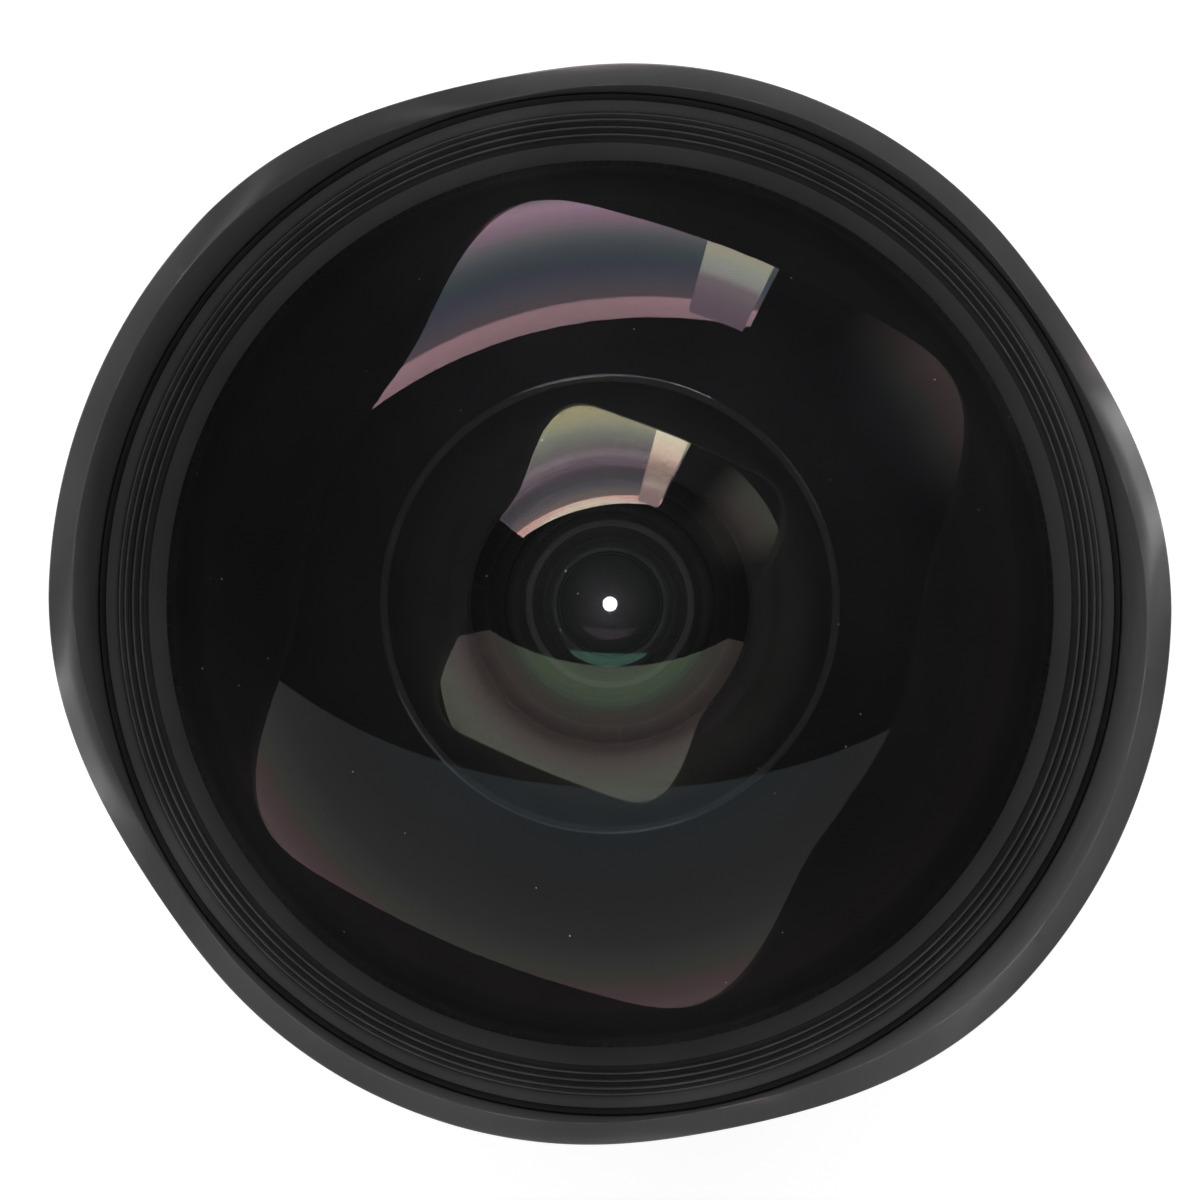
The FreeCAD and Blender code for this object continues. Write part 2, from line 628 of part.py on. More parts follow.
def mount_ring():
    """Bayonet ring: flange, spigot and three claws."""
    body = lathe((
        (MOUNT_BORE_R, -SPIGOT_DEPTH),
        (SPIGOT_R, -SPIGOT_DEPTH),
        (SPIGOT_R, FACE_RELIEF),
        (FACE_INNER_R, FACE_RELIEF),
        (FACE_INNER_R, 0),
        (MOUNT_R - FACE_CHAMFER, 0),
        (MOUNT_R, FACE_CHAMFER),
        (MOUNT_R, MOUNT_THICKNESS),
        (MOUNT_BORE_R, MOUNT_THICKNESS),
    ))
    claws = [
        sector(SPIGOT_R - SLIP, CLAW_R, -CLAW_TOP - CLAW_THICKNESS, -CLAW_TOP, centre, span)
        for centre, span in CLAWS
    ]
    body = join(body, claws)
    head = Part.makeCylinder(
        SCREW_HEAD_R + RUNNING, SCREW_HEAD_SINK + SCREW_HEAD_HEIGHT, V(MOUNT_SCREW_CIRCLE_R, 0, 0)
    )
    shank = Part.makeCylinder(SCREW_SHANK_R + RUNNING, MOUNT_THICKNESS, V(MOUNT_SCREW_CIRCLE_R, 0, 0))
    return body.cut(mount_screw_places(head.fuse(shank)))


def mount_screws():
    """Countersunk-flush screws that hold the bayonet to the chassis."""
    low = SCREW_HEAD_SINK
    head = Part.makeCylinder(SCREW_HEAD_R, SCREW_HEAD_HEIGHT, V(MOUNT_SCREW_CIRCLE_R, 0, low))
    shank = Part.makeCylinder(
        SCREW_SHANK_R, SCREW_SHANK_LENGTH, V(MOUNT_SCREW_CIRCLE_R, 0, low + SCREW_HEAD_HEIGHT)
    )
    screw = head.fuse(shank)
    arms = ((SCREW_SLOT_LENGTH, SCREW_SLOT_WIDTH), (SCREW_SLOT_WIDTH, SCREW_SLOT_LENGTH))
    for length, width in arms:
        corner = V(MOUNT_SCREW_CIRCLE_R - length / 2, -width / 2, low)
        screw = screw.cut(Part.makeBox(length, width, SCREW_SLOT_DEPTH, corner))
    return Part.makeCompound(mount_screw_places(screw))


def mount_gasket():
    """Rubber weather seal round the bayonet."""
    inner = MOUNT_R + FREE_GAP
    return lathe((
        (inner, 0),
        (inner + GASKET_LIP, -GASKET_LIP),
        (GASKET_R, -GASKET_LIP),
        (GASKET_R, MOUNT_THICKNESS),
        (inner, MOUNT_THICKNESS),
    ))


def lever_sweep(inner, outer, low, high, half_span):
    """The room that the lever sweeps, with its margin at both ends."""
    centre = LEVER_ANGLE + IRIS_RING_TURN / 2
    span = IRIS_RING_TURN + 2 * half_span + 2 * LEVER_SWEEP_GAP
    return sector(inner, outer, low, high, centre, span)


def rear_skirt():
    """Plastic ring that guards the rear glass, open at the contacts and at the lever."""
    body = lathe((
        (SKIRT_INNER_R, -SKIRT_LENGTH),
        (SKIRT_R, -SKIRT_LENGTH),
        (SKIRT_R, MOUNT_THICKNESS),
        (SKIRT_FLANGE_R, MOUNT_THICKNESS),
        (SKIRT_FLANGE_R, SKIRT_TOP),
        (SKIRT_INNER_R, SKIRT_TOP),
    ))
    inner, outer = SKIRT_INNER_R - OVERSHOOT, SKIRT_R + FREE_GAP
    low, high = -SKIRT_LENGTH - OVERSHOOT, SKIRT_TOP + OVERSHOOT
    lever_gap = lever_sweep(inner, outer, low, high, LEVER_TAB_HALF_SPAN)
    span = CONTACT_SPAN + 2 * CONTACT_SIDE_GAP
    contact_gap = sector(inner, outer, low, high, CONTACT_ANGLE, span)
    return body.cut([lever_gap, contact_gap])


def contact_block():
    """Black plastic block that carries the contacts."""
    return sector(
        CONTACT_BLOCK_INNER_R, SKIRT_R, -CONTACT_BLOCK_DEPTH, SKIRT_TOP, CONTACT_ANGLE, CONTACT_SPAN
    )


def contact_pads():
    """Gold contacts in a row on the block's rear face."""
    middle = (CONTACT_BLOCK_INNER_R + SKIRT_R) / 2
    pad = block(
        middle - CONTACT_PAD_LENGTH / 2,
        middle + CONTACT_PAD_LENGTH / 2,
        CONTACT_PAD_WIDTH,
        -CONTACT_BLOCK_DEPTH - CONTACT_PAD_HEIGHT,
        -CONTACT_BLOCK_DEPTH,
    )
    pitch = CONTACT_SPAN / (CONTACT_COUNT + 1)
    first = CONTACT_ANGLE - CONTACT_SPAN / 2 + pitch
    return Part.makeCompound([turned(pad, first + pitch * i) for i in range(CONTACT_COUNT)])


def circuit_board():
    """C-shaped board round the rear cell, open where the lever and its spring work."""
    outer = CHASSIS_BORE - BOARD_EDGE_GAP
    middle = BOARD_START + BOARD_SPAN / 2
    body = sector(BOARD_INNER_R, outer, BASE_TOP, BASE_TOP + BOARD_THICKNESS, middle, BOARD_SPAN)
    top = BASE_TOP + BOARD_THICKNESS
    chips = [
        sector(BOARD_INNER_R + CHIP_INSET, outer - CHIP_INSET, top, top + CHIP_HEIGHT, angle, span)
        for angle, span in CHIPS
    ]
    return join(body, chips)


def flex_cable():
    """Flat cable from the contact block, round the chassis base, to the board."""
    start = (CONTACT_BLOCK_INNER_R + SKIRT_R) / 2
    bend = sqrt(BOARD_INNER_R ** 2 - (FLEX_WIDTH / 2) ** 2) - FLEX_THICKNESS - 2 * RUNNING
    low = (SKIRT_TOP + BASE_TOP) / 2
    top = BASE_TOP + BOARD_THICKNESS
    t = FLEX_THICKNESS
    outline = (
        (start, SKIRT_TOP),
        (start, low),
        (bend, low),
        (bend, top + t),
        (bend + FLEX_REACH, top + t),
        (bend + FLEX_REACH, top),
        (bend + t, top),
        (bend + t, low - t),
        (start + t, low - t),
        (start + t, SKIRT_TOP),
    )
    corners = [V(r, -FLEX_WIDTH / 2, z) for r, z in outline]
    face = Part.Face(Part.makePolygon(corners + corners[:1]))
    return turned(face.extrude(V(0, FLEX_WIDTH, 0)), CONTACT_ANGLE)


# Chassis and outer shells

def guide_slot():
    """Straight slot along the axis for one follower, cut through the chassis wall."""
    r = FOLLOWER_R + RUNNING
    inner, outer = CHASSIS_BORE - OVERSHOOT, CHASSIS_R + OVERSHOOT
    ends = [radial_pin(r, inner, outer, FOLLOWER_Z + step) for step in (0, FOCUS_TRAVEL)]
    middle = block(inner, outer, 2 * r, FOLLOWER_Z, FOLLOWER_Z + FOCUS_TRAVEL)
    return join(middle, ends)


def chassis():
    """Guide barrel with its base, motor flange, inner shelf and front flange."""
    body = lathe((
        (CHASSIS_BASE_BORE_R, SKIRT_TOP),
        (SKIRT_FLANGE_R + RUNNING, SKIRT_TOP),
        (SKIRT_FLANGE_R + RUNNING, MOUNT_THICKNESS),
        (CHASSIS_R, MOUNT_THICKNESS),
        (CHASSIS_R, MOTOR_FLANGE_Z),
        (MOTOR_FLANGE_R, MOTOR_FLANGE_Z),
        (MOTOR_FLANGE_R, MOTOR_SEAT),
        (CHASSIS_R, MOTOR_SEAT),
        (CHASSIS_R, FRONT_FLANGE_Z),
        (FRONT_FLANGE_R, FRONT_FLANGE_Z),
        (FRONT_FLANGE_R, CHASSIS_TOP),
        (CHASSIS_BORE, CHASSIS_TOP),
        (CHASSIS_BORE, REAR_CELL_SEAT),
        (SHELF_R, REAR_CELL_SEAT),
        (SHELF_R, SHELF_Z),
        (CHASSIS_BORE, SHELF_Z),
        (CHASSIS_BORE, BASE_TOP),
        (CHASSIS_BASE_BORE_R, BASE_TOP),
    ))
    post_height = LEVER_RING_TOP + POST_R - BASE_TOP
    post = Part.makeCylinder(POST_R, post_height, polar(SPRING_ANCHOR_R, POST_ANGLE, BASE_TOP))
    screw_hole = Part.makeCylinder(
        SCREW_SHANK_R + RUNNING, CHASSIS_BASE_THICKNESS, V(MOUNT_SCREW_CIRCLE_R, 0, MOUNT_THICKNESS)
    )
    notch = turned(
        block(
            CHASSIS_BASE_BORE_R - OVERSHOOT,
            BOARD_INNER_R + OVERSHOOT,
            FLEX_WIDTH + 2 * FLEX_SIDE_GAP,
            MOUNT_THICKNESS,
            BASE_TOP,
        ),
        CONTACT_ANGLE,
    )
    cuts = mount_screw_places(screw_hole) + around(guide_slot(), FOLLOWER_COUNT, FOLLOWER_FIRST)
    return body.fuse(post).cut(cuts + [notch])


def rear_barrel():
    """Tapered rear shell between the bayonet and the control barrel."""
    low = MOUNT_THICKNESS
    taper_start = low + REAR_BARREL_STEP
    taper_end = taper_start + REAR_TAPER_LENGTH
    bore = REAR_BARREL_BORE
    front_bore = MOTOR_FLANGE_R + RUNNING
    return lathe((
        (bore, low),
        (REAR_BARREL_R - BARREL_EDGE, low),
        (REAR_BARREL_R, low + BARREL_EDGE),
        (REAR_BARREL_R, taper_start),
        (BARREL_R, taper_end),
        (BARREL_R, MOTOR_SEAT - BARREL_EDGE),
        (BARREL_R - BARREL_EDGE, MOTOR_SEAT),
        (front_bore, MOTOR_SEAT),
        (front_bore, taper_end + BARREL_EDGE),
        (bore, taper_start + BARREL_EDGE),
    ))


def switch_box(x0, x1, width, height, middle=SWITCH_Z):
    """A box on the -X side of the control barrel, centred on a height."""
    return turned(block(x0, x1, width, middle - height / 2, middle + height / 2), 180)


def switch_middle():
    """Rest height of the switch, at the rear end of its travel."""
    return SWITCH_Z - SWITCH_TRAVEL / 2


def control_barrel():
    """Middle shell with the distance window and the switch pocket."""
    body = lathe((
        (CONTROL_WEB_R, MOTOR_SEAT),
        (CONTROL_R - BARREL_EDGE, MOTOR_SEAT),
        (CONTROL_R, MOTOR_SEAT + BARREL_EDGE),
        (CONTROL_R, CONTROL_TOP - BARREL_EDGE),
        (CONTROL_R - BARREL_EDGE, CONTROL_TOP),
        (CONTROL_BORE, CONTROL_TOP),
        (CONTROL_BORE, MOTOR_SEAT + CONTROL_WEB_THICKNESS),
        (CONTROL_WEB_R, MOTOR_SEAT + CONTROL_WEB_THICKNESS),
    ))
    pane_inner = CONTROL_R - WINDOW_PANE_SINK - WINDOW_PANE_THICKNESS
    opening = sector(
        CONTROL_BORE - OVERSHOOT,
        CONTROL_R + OVERSHOOT,
        WINDOW_Z + WINDOW_LEDGE,
        WINDOW_Z + WINDOW_HEIGHT - WINDOW_LEDGE,
        WINDOW_ANGLE,
        WINDOW_SPAN - WINDOW_LEDGE_SPAN,
    )
    rebate = sector(
        pane_inner, CONTROL_R + OVERSHOOT, WINDOW_Z, WINDOW_Z + WINDOW_HEIGHT, WINDOW_ANGLE, WINDOW_SPAN
    )
    plate_pocket = switch_box(
        SWITCH_PLATE_X - SWITCH_PLATE_THICKNESS,
        CONTROL_R + OVERSHOOT,
        SWITCH_PLATE_WIDTH + 2 * RUNNING,
        SWITCH_PLATE_HEIGHT + 2 * RUNNING,
    )
    base_pocket = switch_box(
        SWITCH_FLOOR_X,
        CONTROL_R + OVERSHOOT,
        SWITCH_BASE_WIDTH + 2 * SWITCH_PLAY,
        SWITCH_BASE_HEIGHT + SWITCH_TRAVEL + 2 * SWITCH_PLAY,
    )
    return body.cut([opening, rebate, plate_pocket, base_pocket])


def distance_window():
    """Clear curved pane in its rebate."""
    outer = CONTROL_R - WINDOW_PANE_SINK
    play = degrees(RUNNING / outer)
    return sector(
        outer - WINDOW_PANE_THICKNESS,
        outer,
        WINDOW_Z + RUNNING,
        WINDOW_Z + WINDOW_HEIGHT - RUNNING,
        WINDOW_ANGLE,
        WINDOW_SPAN - 2 * play,
    )


def switch_plate():
    """Thin plate that traps the switch and lets its cap through."""
    inner = SWITCH_PLATE_X - SWITCH_PLATE_THICKNESS
    plate = switch_box(inner, SWITCH_PLATE_X, SWITCH_PLATE_WIDTH, SWITCH_PLATE_HEIGHT)
    slot = switch_box(
        inner - OVERSHOOT,
        SWITCH_PLATE_X + OVERSHOOT,
        SWITCH_CAP_WIDTH + 2 * SWITCH_PLAY,
        SWITCH_CAP_HEIGHT + SWITCH_TRAVEL + 2 * SWITCH_PLAY,
    )
    return plate.cut(slot)


def af_mf_switch():
    """Sliding focus mode switch: trapped base and ridged cap."""
    base_top = SWITCH_PLATE_X - SWITCH_PLATE_THICKNESS - SWITCH_PLAY
    middle = switch_middle()
    base = switch_box(
        SWITCH_FLOOR_X + RUNNING, base_top, SWITCH_BASE_WIDTH, SWITCH_BASE_HEIGHT, middle
    )
    crest = SWITCH_PLATE_X + SWITCH_CAP_RISE
    cap = switch_box(base_top - SWITCH_PLAY, crest, SWITCH_CAP_WIDTH, SWITCH_CAP_HEIGHT, middle)
    pitch = SWITCH_CAP_HEIGHT / (SWITCH_RIDGES + 1)
    grooves = [
        switch_box(
            crest - SWITCH_RIDGE_DEPTH,
            crest + OVERSHOOT,
            SWITCH_CAP_WIDTH + OVERSHOOT,
            pitch / 2,
            middle + pitch * (i - (SWITCH_RIDGES - 1) / 2),
        )
        for i in range(SWITCH_RIDGES)
    ]
    return join(base, [cap]).cut(grooves)


# Ring motor and roller drive

def spring_washer():
    """Spring washer that presses the stator on the rotor."""
    return ring(CHASSIS_R + SLIP, MOTOR_OUTER_R, MOTOR_SEAT, STATOR_Z)


def motor_stator():
    """Toothed ring of the travelling-wave motor."""
    body = ring(CHASSIS_R + RUNNING, MOTOR_OUTER_R, STATOR_Z, STATOR_Z + STATOR_HEIGHT)
    top = STATOR_Z + STATOR_HEIGHT
    slot = block(
        CHASSIS_R - OVERSHOOT,
        MOTOR_OUTER_R + OVERSHOOT,
        STATOR_SLOT_WIDTH,
        top - STATOR_SLOT_DEPTH,
        top + OVERSHOOT,
    )
    return body.cut(around(slot, STATOR_TEETH))


def motor_rotor():
    """Rotor ring that the rollers run on."""
    return ring(CHASSIS_R + SLIP, MOTOR_OUTER_R, ROTOR_Z, ROTOR_TOP)


def drive_roller(index):
    """Steel roller between the rotor and the hand ring."""
    body = radial_pin(ROLLER_R, ROLLER_INNER_R, ROLLER_OUTER_R, ROLLER_Z)
    body = body.cut(radial_pin(AXLE_R + RUNNING, ROLLER_INNER_R, ROLLER_OUTER_R, ROLLER_Z))
    return turned(body, ROLLER_FIRST + 360.0 * index / ROLLER_COUNT)


def manual_drive_ring():
    """Ring on the rear of the focus ring; its foot presses on the rollers."""
    return lathe((
        (ROLLER_INNER_R, DRIVE_RING_Z),
        (DRIVE_RING_R, DRIVE_RING_Z),
        (DRIVE_RING_R, CORE_Z),
        (DRIVE_RING_BORE, CORE_Z),
        (DRIVE_RING_BORE, DRIVE_RING_Z + DRIVE_RING_FOOT_HEIGHT),
        (ROLLER_INNER_R, DRIVE_RING_Z + DRIVE_RING_FOOT_HEIGHT),
    ))


def scale_ring():
    """Thin drum with the distance scale, carried on the ends of the roller axles."""
    drum = ring(AXLE_END_R, SCALE_R, SCALE_Z, SCALE_Z + SCALE_HEIGHT)
    half = SCALE_HUB_HEIGHT / 2
    hub = ring(SCALE_R - SCALE_HUB_WALL, SCALE_R, ROLLER_Z - half, ROLLER_Z + half)
    hole = radial_pin(AXLE_R, SCALE_R - SCALE_HUB_WALL - OVERSHOOT, AXLE_END_R, ROLLER_Z)
    return join(drum, [hub]).cut(around(hole, ROLLER_COUNT, ROLLER_FIRST))


def cam_slot():
    """Helical slot for one follower, from its rest place to the end of the cam's turn."""
    inner, outer = CAM_BARREL_INNER_R - OVERSHOOT, CAM_BARREL_R + OVERSHOOT
    half_width = FOLLOWER_R + RUNNING
    mean = (CAM_BARREL_INNER_R + CAM_BARREL_R) / 2
    climb = FOCUS_TRAVEL / (mean * radians(CAM_TURN))
    half = half_width * sqrt(1 + climb ** 2)
    sections = []
    for i in range(CAM_SLOT_STEPS + 1):
        share = i / CAM_SLOT_STEPS
        z = FOLLOWER_Z + FOCUS_TRAVEL * share
        outline = ((inner, z - half), (outer, z - half), (outer, z + half), (inner, z + half))
        corners = [V(x, 0, height) for x, height in outline]
        section = Part.makePolygon(corners + corners[:1])
        sections.append(turned(section, -CAM_TURN * share))
    band = Part.makeLoft(sections, True, True)
    start = radial_pin(half_width, inner, outer, FOLLOWER_Z)
    end = turned(radial_pin(half_width, inner, outer, FOLLOWER_Z + FOCUS_TRAVEL), -CAM_TURN)
    return band.fuse([start, end])


def cam_barrel():
    """Output barrel of the roller drive, with its cam slots and the roller axles."""
    body = ring(CAM_BARREL_INNER_R, CAM_BARREL_R, CAM_BARREL_Z, CAM_BARREL_TOP)
    for slot in around(cam_slot(), FOLLOWER_COUNT, FOLLOWER_FIRST):
        body = body.cut(slot)
    inner = (CAM_BARREL_INNER_R + CAM_BARREL_R) / 2
    axle = radial_pin(AXLE_R, inner, AXLE_END_R, ROLLER_Z)
    return body.fuse(around(axle, ROLLER_COUNT, ROLLER_FIRST))


# Focus ring

def bearing_sleeve():
    """Sleeve that the focus ring turns on, hung from the chassis's front flange."""
    return ring(SLEEVE_R - SLEEVE_WALL, SLEEVE_R, SLEEVE_Z, FRONT_FLANGE_Z)


def focus_core():
    """Metal core of the focus ring, with the web that reaches in to the drive ring."""
    return lathe((
        (DRIVE_RING_BORE, CORE_Z),
        (CORE_RIM_R - BARREL_EDGE, CORE_Z),
        (CORE_RIM_R, CORE_Z + BARREL_EDGE),
        (CORE_RIM_R, CORE_Z + CORE_RIM_LENGTH),
        (CORE_R, CORE_Z + CORE_RIM_LENGTH),
        (CORE_R, CORE_TOP - CORE_RIM_LENGTH),
        (CORE_RIM_R, CORE_TOP - CORE_RIM_LENGTH),
        (CORE_RIM_R, CORE_TOP - BARREL_EDGE),
        (CORE_RIM_R - BARREL_EDGE, CORE_TOP),
        (CORE_BORE_R, CORE_TOP),
        (CORE_BORE_R, CORE_Z + CORE_WEB_THICKNESS),
        (DRIVE_RING_BORE, CORE_Z + CORE_WEB_THICKNESS),
    ))


def focus_grip():
    """Ribbed rubber sleeve."""
    low, high = CORE_Z + CORE_RIM_LENGTH, CORE_TOP - CORE_RIM_LENGTH
    body = ring(CORE_R, GRIP_R, low, high)
    groove = block(
        GRIP_R - GRIP_GROOVE_DEPTH,
        GRIP_R + OVERSHOOT,
        GRIP_GROOVE_WIDTH,
        low + GRIP_LAND,
        high - GRIP_LAND,
    )
    return body.cut(around(groove, GRIP_RIB_COUNT))


# Focus group

def focus_carrier():
    """Sliding carrier of the focus group."""
    rim_6 = rim("element_6")
    rim_7 = rim("elements_7_8")
    hub = rim_6 + CARRIER_HUB_WALL
    web = CARRIER_Z + CARRIER_WEB_THICKNESS
    body = lathe((
        (rim_7 - CELL_LIP, CARRIER_Z),
        (CARRIER_R, CARRIER_Z),
        (CARRIER_R, CARRIER_Z + CARRIER_LENGTH),
        (CARRIER_R - CARRIER_WALL, CARRIER_Z + CARRIER_LENGTH),
        (CARRIER_R - CARRIER_WALL, web),
        (hub, web),
        (hub, CARRIER_Z + CARRIER_HUB_LENGTH),
        (rim_6 + SEAT, CARRIER_Z + CARRIER_HUB_LENGTH),
        (rim_6 + SEAT, seat_rear("element_6")),
        (rim_7 + SEAT, seat_rear("element_6")),
        (rim_7 + SEAT, seat_rear("elements_7_8")),
        (rim_7 - CELL_LIP, seat_rear("elements_7_8")),
    ))
    hole = radial_pin(FOLLOWER_R, CARRIER_R - CARRIER_WALL - OVERSHOOT, CARRIER_R + OVERSHOOT, FOLLOWER_Z)
    return body.cut(around(hole, FOLLOWER_COUNT, FOLLOWER_FIRST))


def cam_followers():
    """Brass followers that reach through the chassis slots into the cam slots."""
    pin = radial_pin(FOLLOWER_R, CARRIER_R - CARRIER_WALL, FOLLOWER_TIP_R, FOLLOWER_Z)
    return Part.makeCompound(around(pin, FOLLOWER_COUNT, FOLLOWER_FIRST))


# Diaphragm

def pin_reach():
    """Distance from a blade's pivot to its drive pin."""
    return 2 * BLADE_PIVOT_R * sin(radians(DRIVE_PIN_ANGLE / 2))


def drive_pin_place(closing):
    """Where the first blade's drive pin stands at a closing angle, in degrees."""
    heading = 90 + DRIVE_PIN_ANGLE / 2 + closing
    return V(BLADE_PIVOT_R, 0, 0) + polar(pin_reach(), heading)


def aperture_blade(index):
    """One blade in its own layer, made open and then swung shut about its pivot."""
    low = BLADE_Z + BLADE_PITCH * index
    high = low + BLADE_THICKNESS
    band_span = BLADE_SPAN + BLADE_LUG_BACK
    band = sector(BLADE_INNER_R, BLADE_OUTER_R, low, high, band_span / 2 - BLADE_LUG_BACK, band_span)
    lug_span = BLADE_LUG_SPAN + BLADE_LUG_BACK
    lug = sector(BLADE_OUTER_R - BLADE_LUG_MARGIN, BLADE_LUG_R, low, high, lug_span / 2 - BLADE_LUG_BACK, lug_span)
    pivot_low = IRIS_Z + SLIP
    pivot = Part.makeCylinder(BLADE_PIN_R, high - pivot_low, V(BLADE_PIVOT_R, 0, pivot_low))
    drive = Part.makeCylinder(BLADE_PIN_R, PIN_TOP - low, drive_pin_place(0) + V(0, 0, low))
    blade = join(band, [lug, pivot, drive])
    blade = turned(blade, BLADE_CLOSING, V(BLADE_PIVOT_R, 0, 0))
    return turned(blade, 360.0 * index / BLADE_COUNT)


def drive_slot(low, high):
    """Curved slot: the drive pin's path as the turning ring sees it."""
    places = []
    for share in (0.0, 0.5, 1.0):
        point = drive_pin_place(BLADE_CLOSING * (1 - share))
        places.append(point_turned(point, -IRIS_RING_TURN * share))
    first, middle, last = places
    centre = Part.Circle(first, middle, last).Center
    radius = first.distanceToPoint(centre)
    half = BLADE_PIN_R + RUNNING
    outer = [centre + (p - centre) * ((radius + half) / radius) for p in places]
    inner = [centre + (p - centre) * ((radius - half) / radius) for p in places]
    start_cap = first + end_direction(centre, first, middle) * half
    end_cap = last + end_direction(centre, last, middle) * half
    edges = [
        Part.Arc(*outer).toShape(),
        Part.Arc(outer[2], end_cap, inner[2]).toShape(),
        Part.Arc(*inner).toShape(),
        Part.Arc(inner[0], start_cap, outer[0]).toShape(),
    ]
    face = Part.Face(Part.Wire(Part.__sortEdges__(edges)))
    face.translate(V(0, 0, low))
    return face.extrude(V(0, 0, high - low))


def point_turned(point, angle):
    """A point turned about the axis."""
    a = radians(angle)
    return V(point.x * cos(a) - point.y * sin(a), point.x * sin(a) + point.y * cos(a), point.z)


def end_direction(centre, end, middle):
    """Unit vector along a slot's arc at its end, pointing out of the slot."""
    spoke = (end - centre).normalize()
    along = V(-spoke.y, spoke.x, 0)
    return along if along.dot(end - middle) > 0 else along * -1


def link_slot(low, high):
    """Arc slot that the link arm sweeps through a fixed plate."""
    return lever_sweep(LINK_INNER_R - SLIP, LINK_R + SLIP, low, high, LINK_HALF_SPAN)


def diaphragm_base():
    """Plate with the blade pivots' holes and the rim that the drive ring runs in."""
    top = IRIS_Z + IRIS_BASE_THICKNESS
    bore = IRIS_RING_R + SLIP
    body = lathe((
        (STOP_OPEN_R, IRIS_Z),
        (IRIS_HOUSING_R, IRIS_Z),
        (IRIS_HOUSING_R, IRIS_COVER_Z),
        (bore, IRIS_COVER_Z),
        (bore, top),
        (STOP_OPEN_R, top),
    ))
    hole = Part.makeCylinder(BLADE_PIN_R + RUNNING, IRIS_BASE_THICKNESS, V(BLADE_PIVOT_R, 0, IRIS_Z))
    return body.cut(around(hole, BLADE_COUNT) + [link_slot(IRIS_Z, top)])


def diaphragm_cover():
    """Cover plate that closes the diaphragm."""
    top = IRIS_COVER_Z + IRIS_COVER_THICKNESS
    return ring(STOP_OPEN_R + FREE_GAP, IRIS_HOUSING_R, IRIS_COVER_Z, top)


def aperture_ring():
    """Drive ring with one curved slot per blade."""
    body = ring(IRIS_RING_INNER_R, IRIS_RING_R, IRIS_RING_Z, IRIS_RING_TOP)
    slots = around(drive_slot(IRIS_RING_Z, IRIS_RING_TOP), BLADE_COUNT)
    notch = sector(
        LINK_INNER_R,
        IRIS_RING_R + OVERSHOOT,
        IRIS_RING_Z,
        IRIS_RING_TOP,
        LEVER_ANGLE,
        2 * LINK_HALF_SPAN,
    )
    return body.cut(slots + [notch])


def aperture_lever():
    """Stamped ring with the lever tab and the link arm up to the drive ring."""
    body = ring(LEVER_RING_INNER_R, LEVER_RING_R, LEVER_RING_Z, LEVER_RING_TOP)
    tab_outer = LEVER_TAB_R + LEVER_TAB_WALL
    tab_span = 2 * LEVER_TAB_HALF_SPAN
    root_top = LEVER_RING_Z + LEVER_TAB_ROOT
    root = sector(LEVER_TAB_R, LEVER_RING_R, LEVER_RING_Z, root_top, LEVER_ANGLE, tab_span)
    tab = sector(LEVER_TAB_R, tab_outer, -SKIRT_LENGTH + LEVER_TAB_TIP, root_top, LEVER_ANGLE, tab_span)
    lug = sector(
        LEVER_RING_INNER_R,
        LINK_R,
        LEVER_RING_TOP - LINK_LUG_HEIGHT,
        LEVER_RING_TOP,
        LEVER_ANGLE,
        2 * LINK_HALF_SPAN,
    )
    arm = sector(
        LINK_INNER_R,
        LINK_R,
        LEVER_RING_TOP - LINK_LUG_HEIGHT,
        IRIS_RING_TOP,
        LEVER_ANGLE,
        2 * LINK_HALF_SPAN,
    )
    return join(body, [root, tab, lug, arm])


def aperture_spring():
    """Extension spring that pulls the lever back to the closed end."""
    height = LEVER_RING_TOP - LINK_LUG_HEIGHT / 2
    post = polar(SPRING_ANCHOR_R, POST_ANGLE, height)
    lug = polar(SPRING_ANCHOR_R, LEVER_ANGLE - LINK_HALF_SPAN, height)
    direction = (lug - post).normalize()
    start = post + direction * (POST_R + SPRING_WIRE_R)
    length = start.distanceToPoint(lug) - SPRING_WIRE_R
    helix = Part.makeHelix(length / SPRING_TURNS, length, SPRING_COIL_R)
    section = Part.makeCircle(SPRING_WIRE_R, V(SPRING_COIL_R, 0, 0), V(0, 1, 0))
    coil = Part.Wire(helix).makePipeShell([Part.Wire(section)], True, True)
    coil.Placement = FreeCAD.Placement(start, FreeCAD.Rotation(Z_AXIS, direction))
    return coil


# Cells

def rear_cell():
    """Tube of the rear group: each group rests on a shoulder in front of it."""
    collar = LEVER_RING_TOP + FREE_GAP
    outline = [
        (REAR_CELL_THROAT_R, IRIS_Z),
        (CHASSIS_BORE - RUNNING, IRIS_Z),
        (CHASSIS_BORE - RUNNING, REAR_CELL_SEAT),
        (REAR_CELL_R, REAR_CELL_SEAT),
        (REAR_CELL_R, collar + REAR_CELL_COLLAR),
        (LEVER_RING_R, collar + REAR_CELL_COLLAR),
        (LEVER_RING_R, collar),
        (REAR_CELL_R, collar),
        (REAR_CELL_R, REAR_CELL_Z),
    ]
    steps = []
    bore = REAR_CELL_THROAT_R
    for name in REAR_GLASS:
        seat = seat_front(name, bore)
        steps += [(bore, seat), (rim(name) + SEAT, seat)]
        bore = rim(name) + SEAT
    steps.append((bore, REAR_CELL_Z))
    return lathe(outline + steps[::-1]).cut(link_slot(REAR_CELL_SEAT, IRIS_Z))


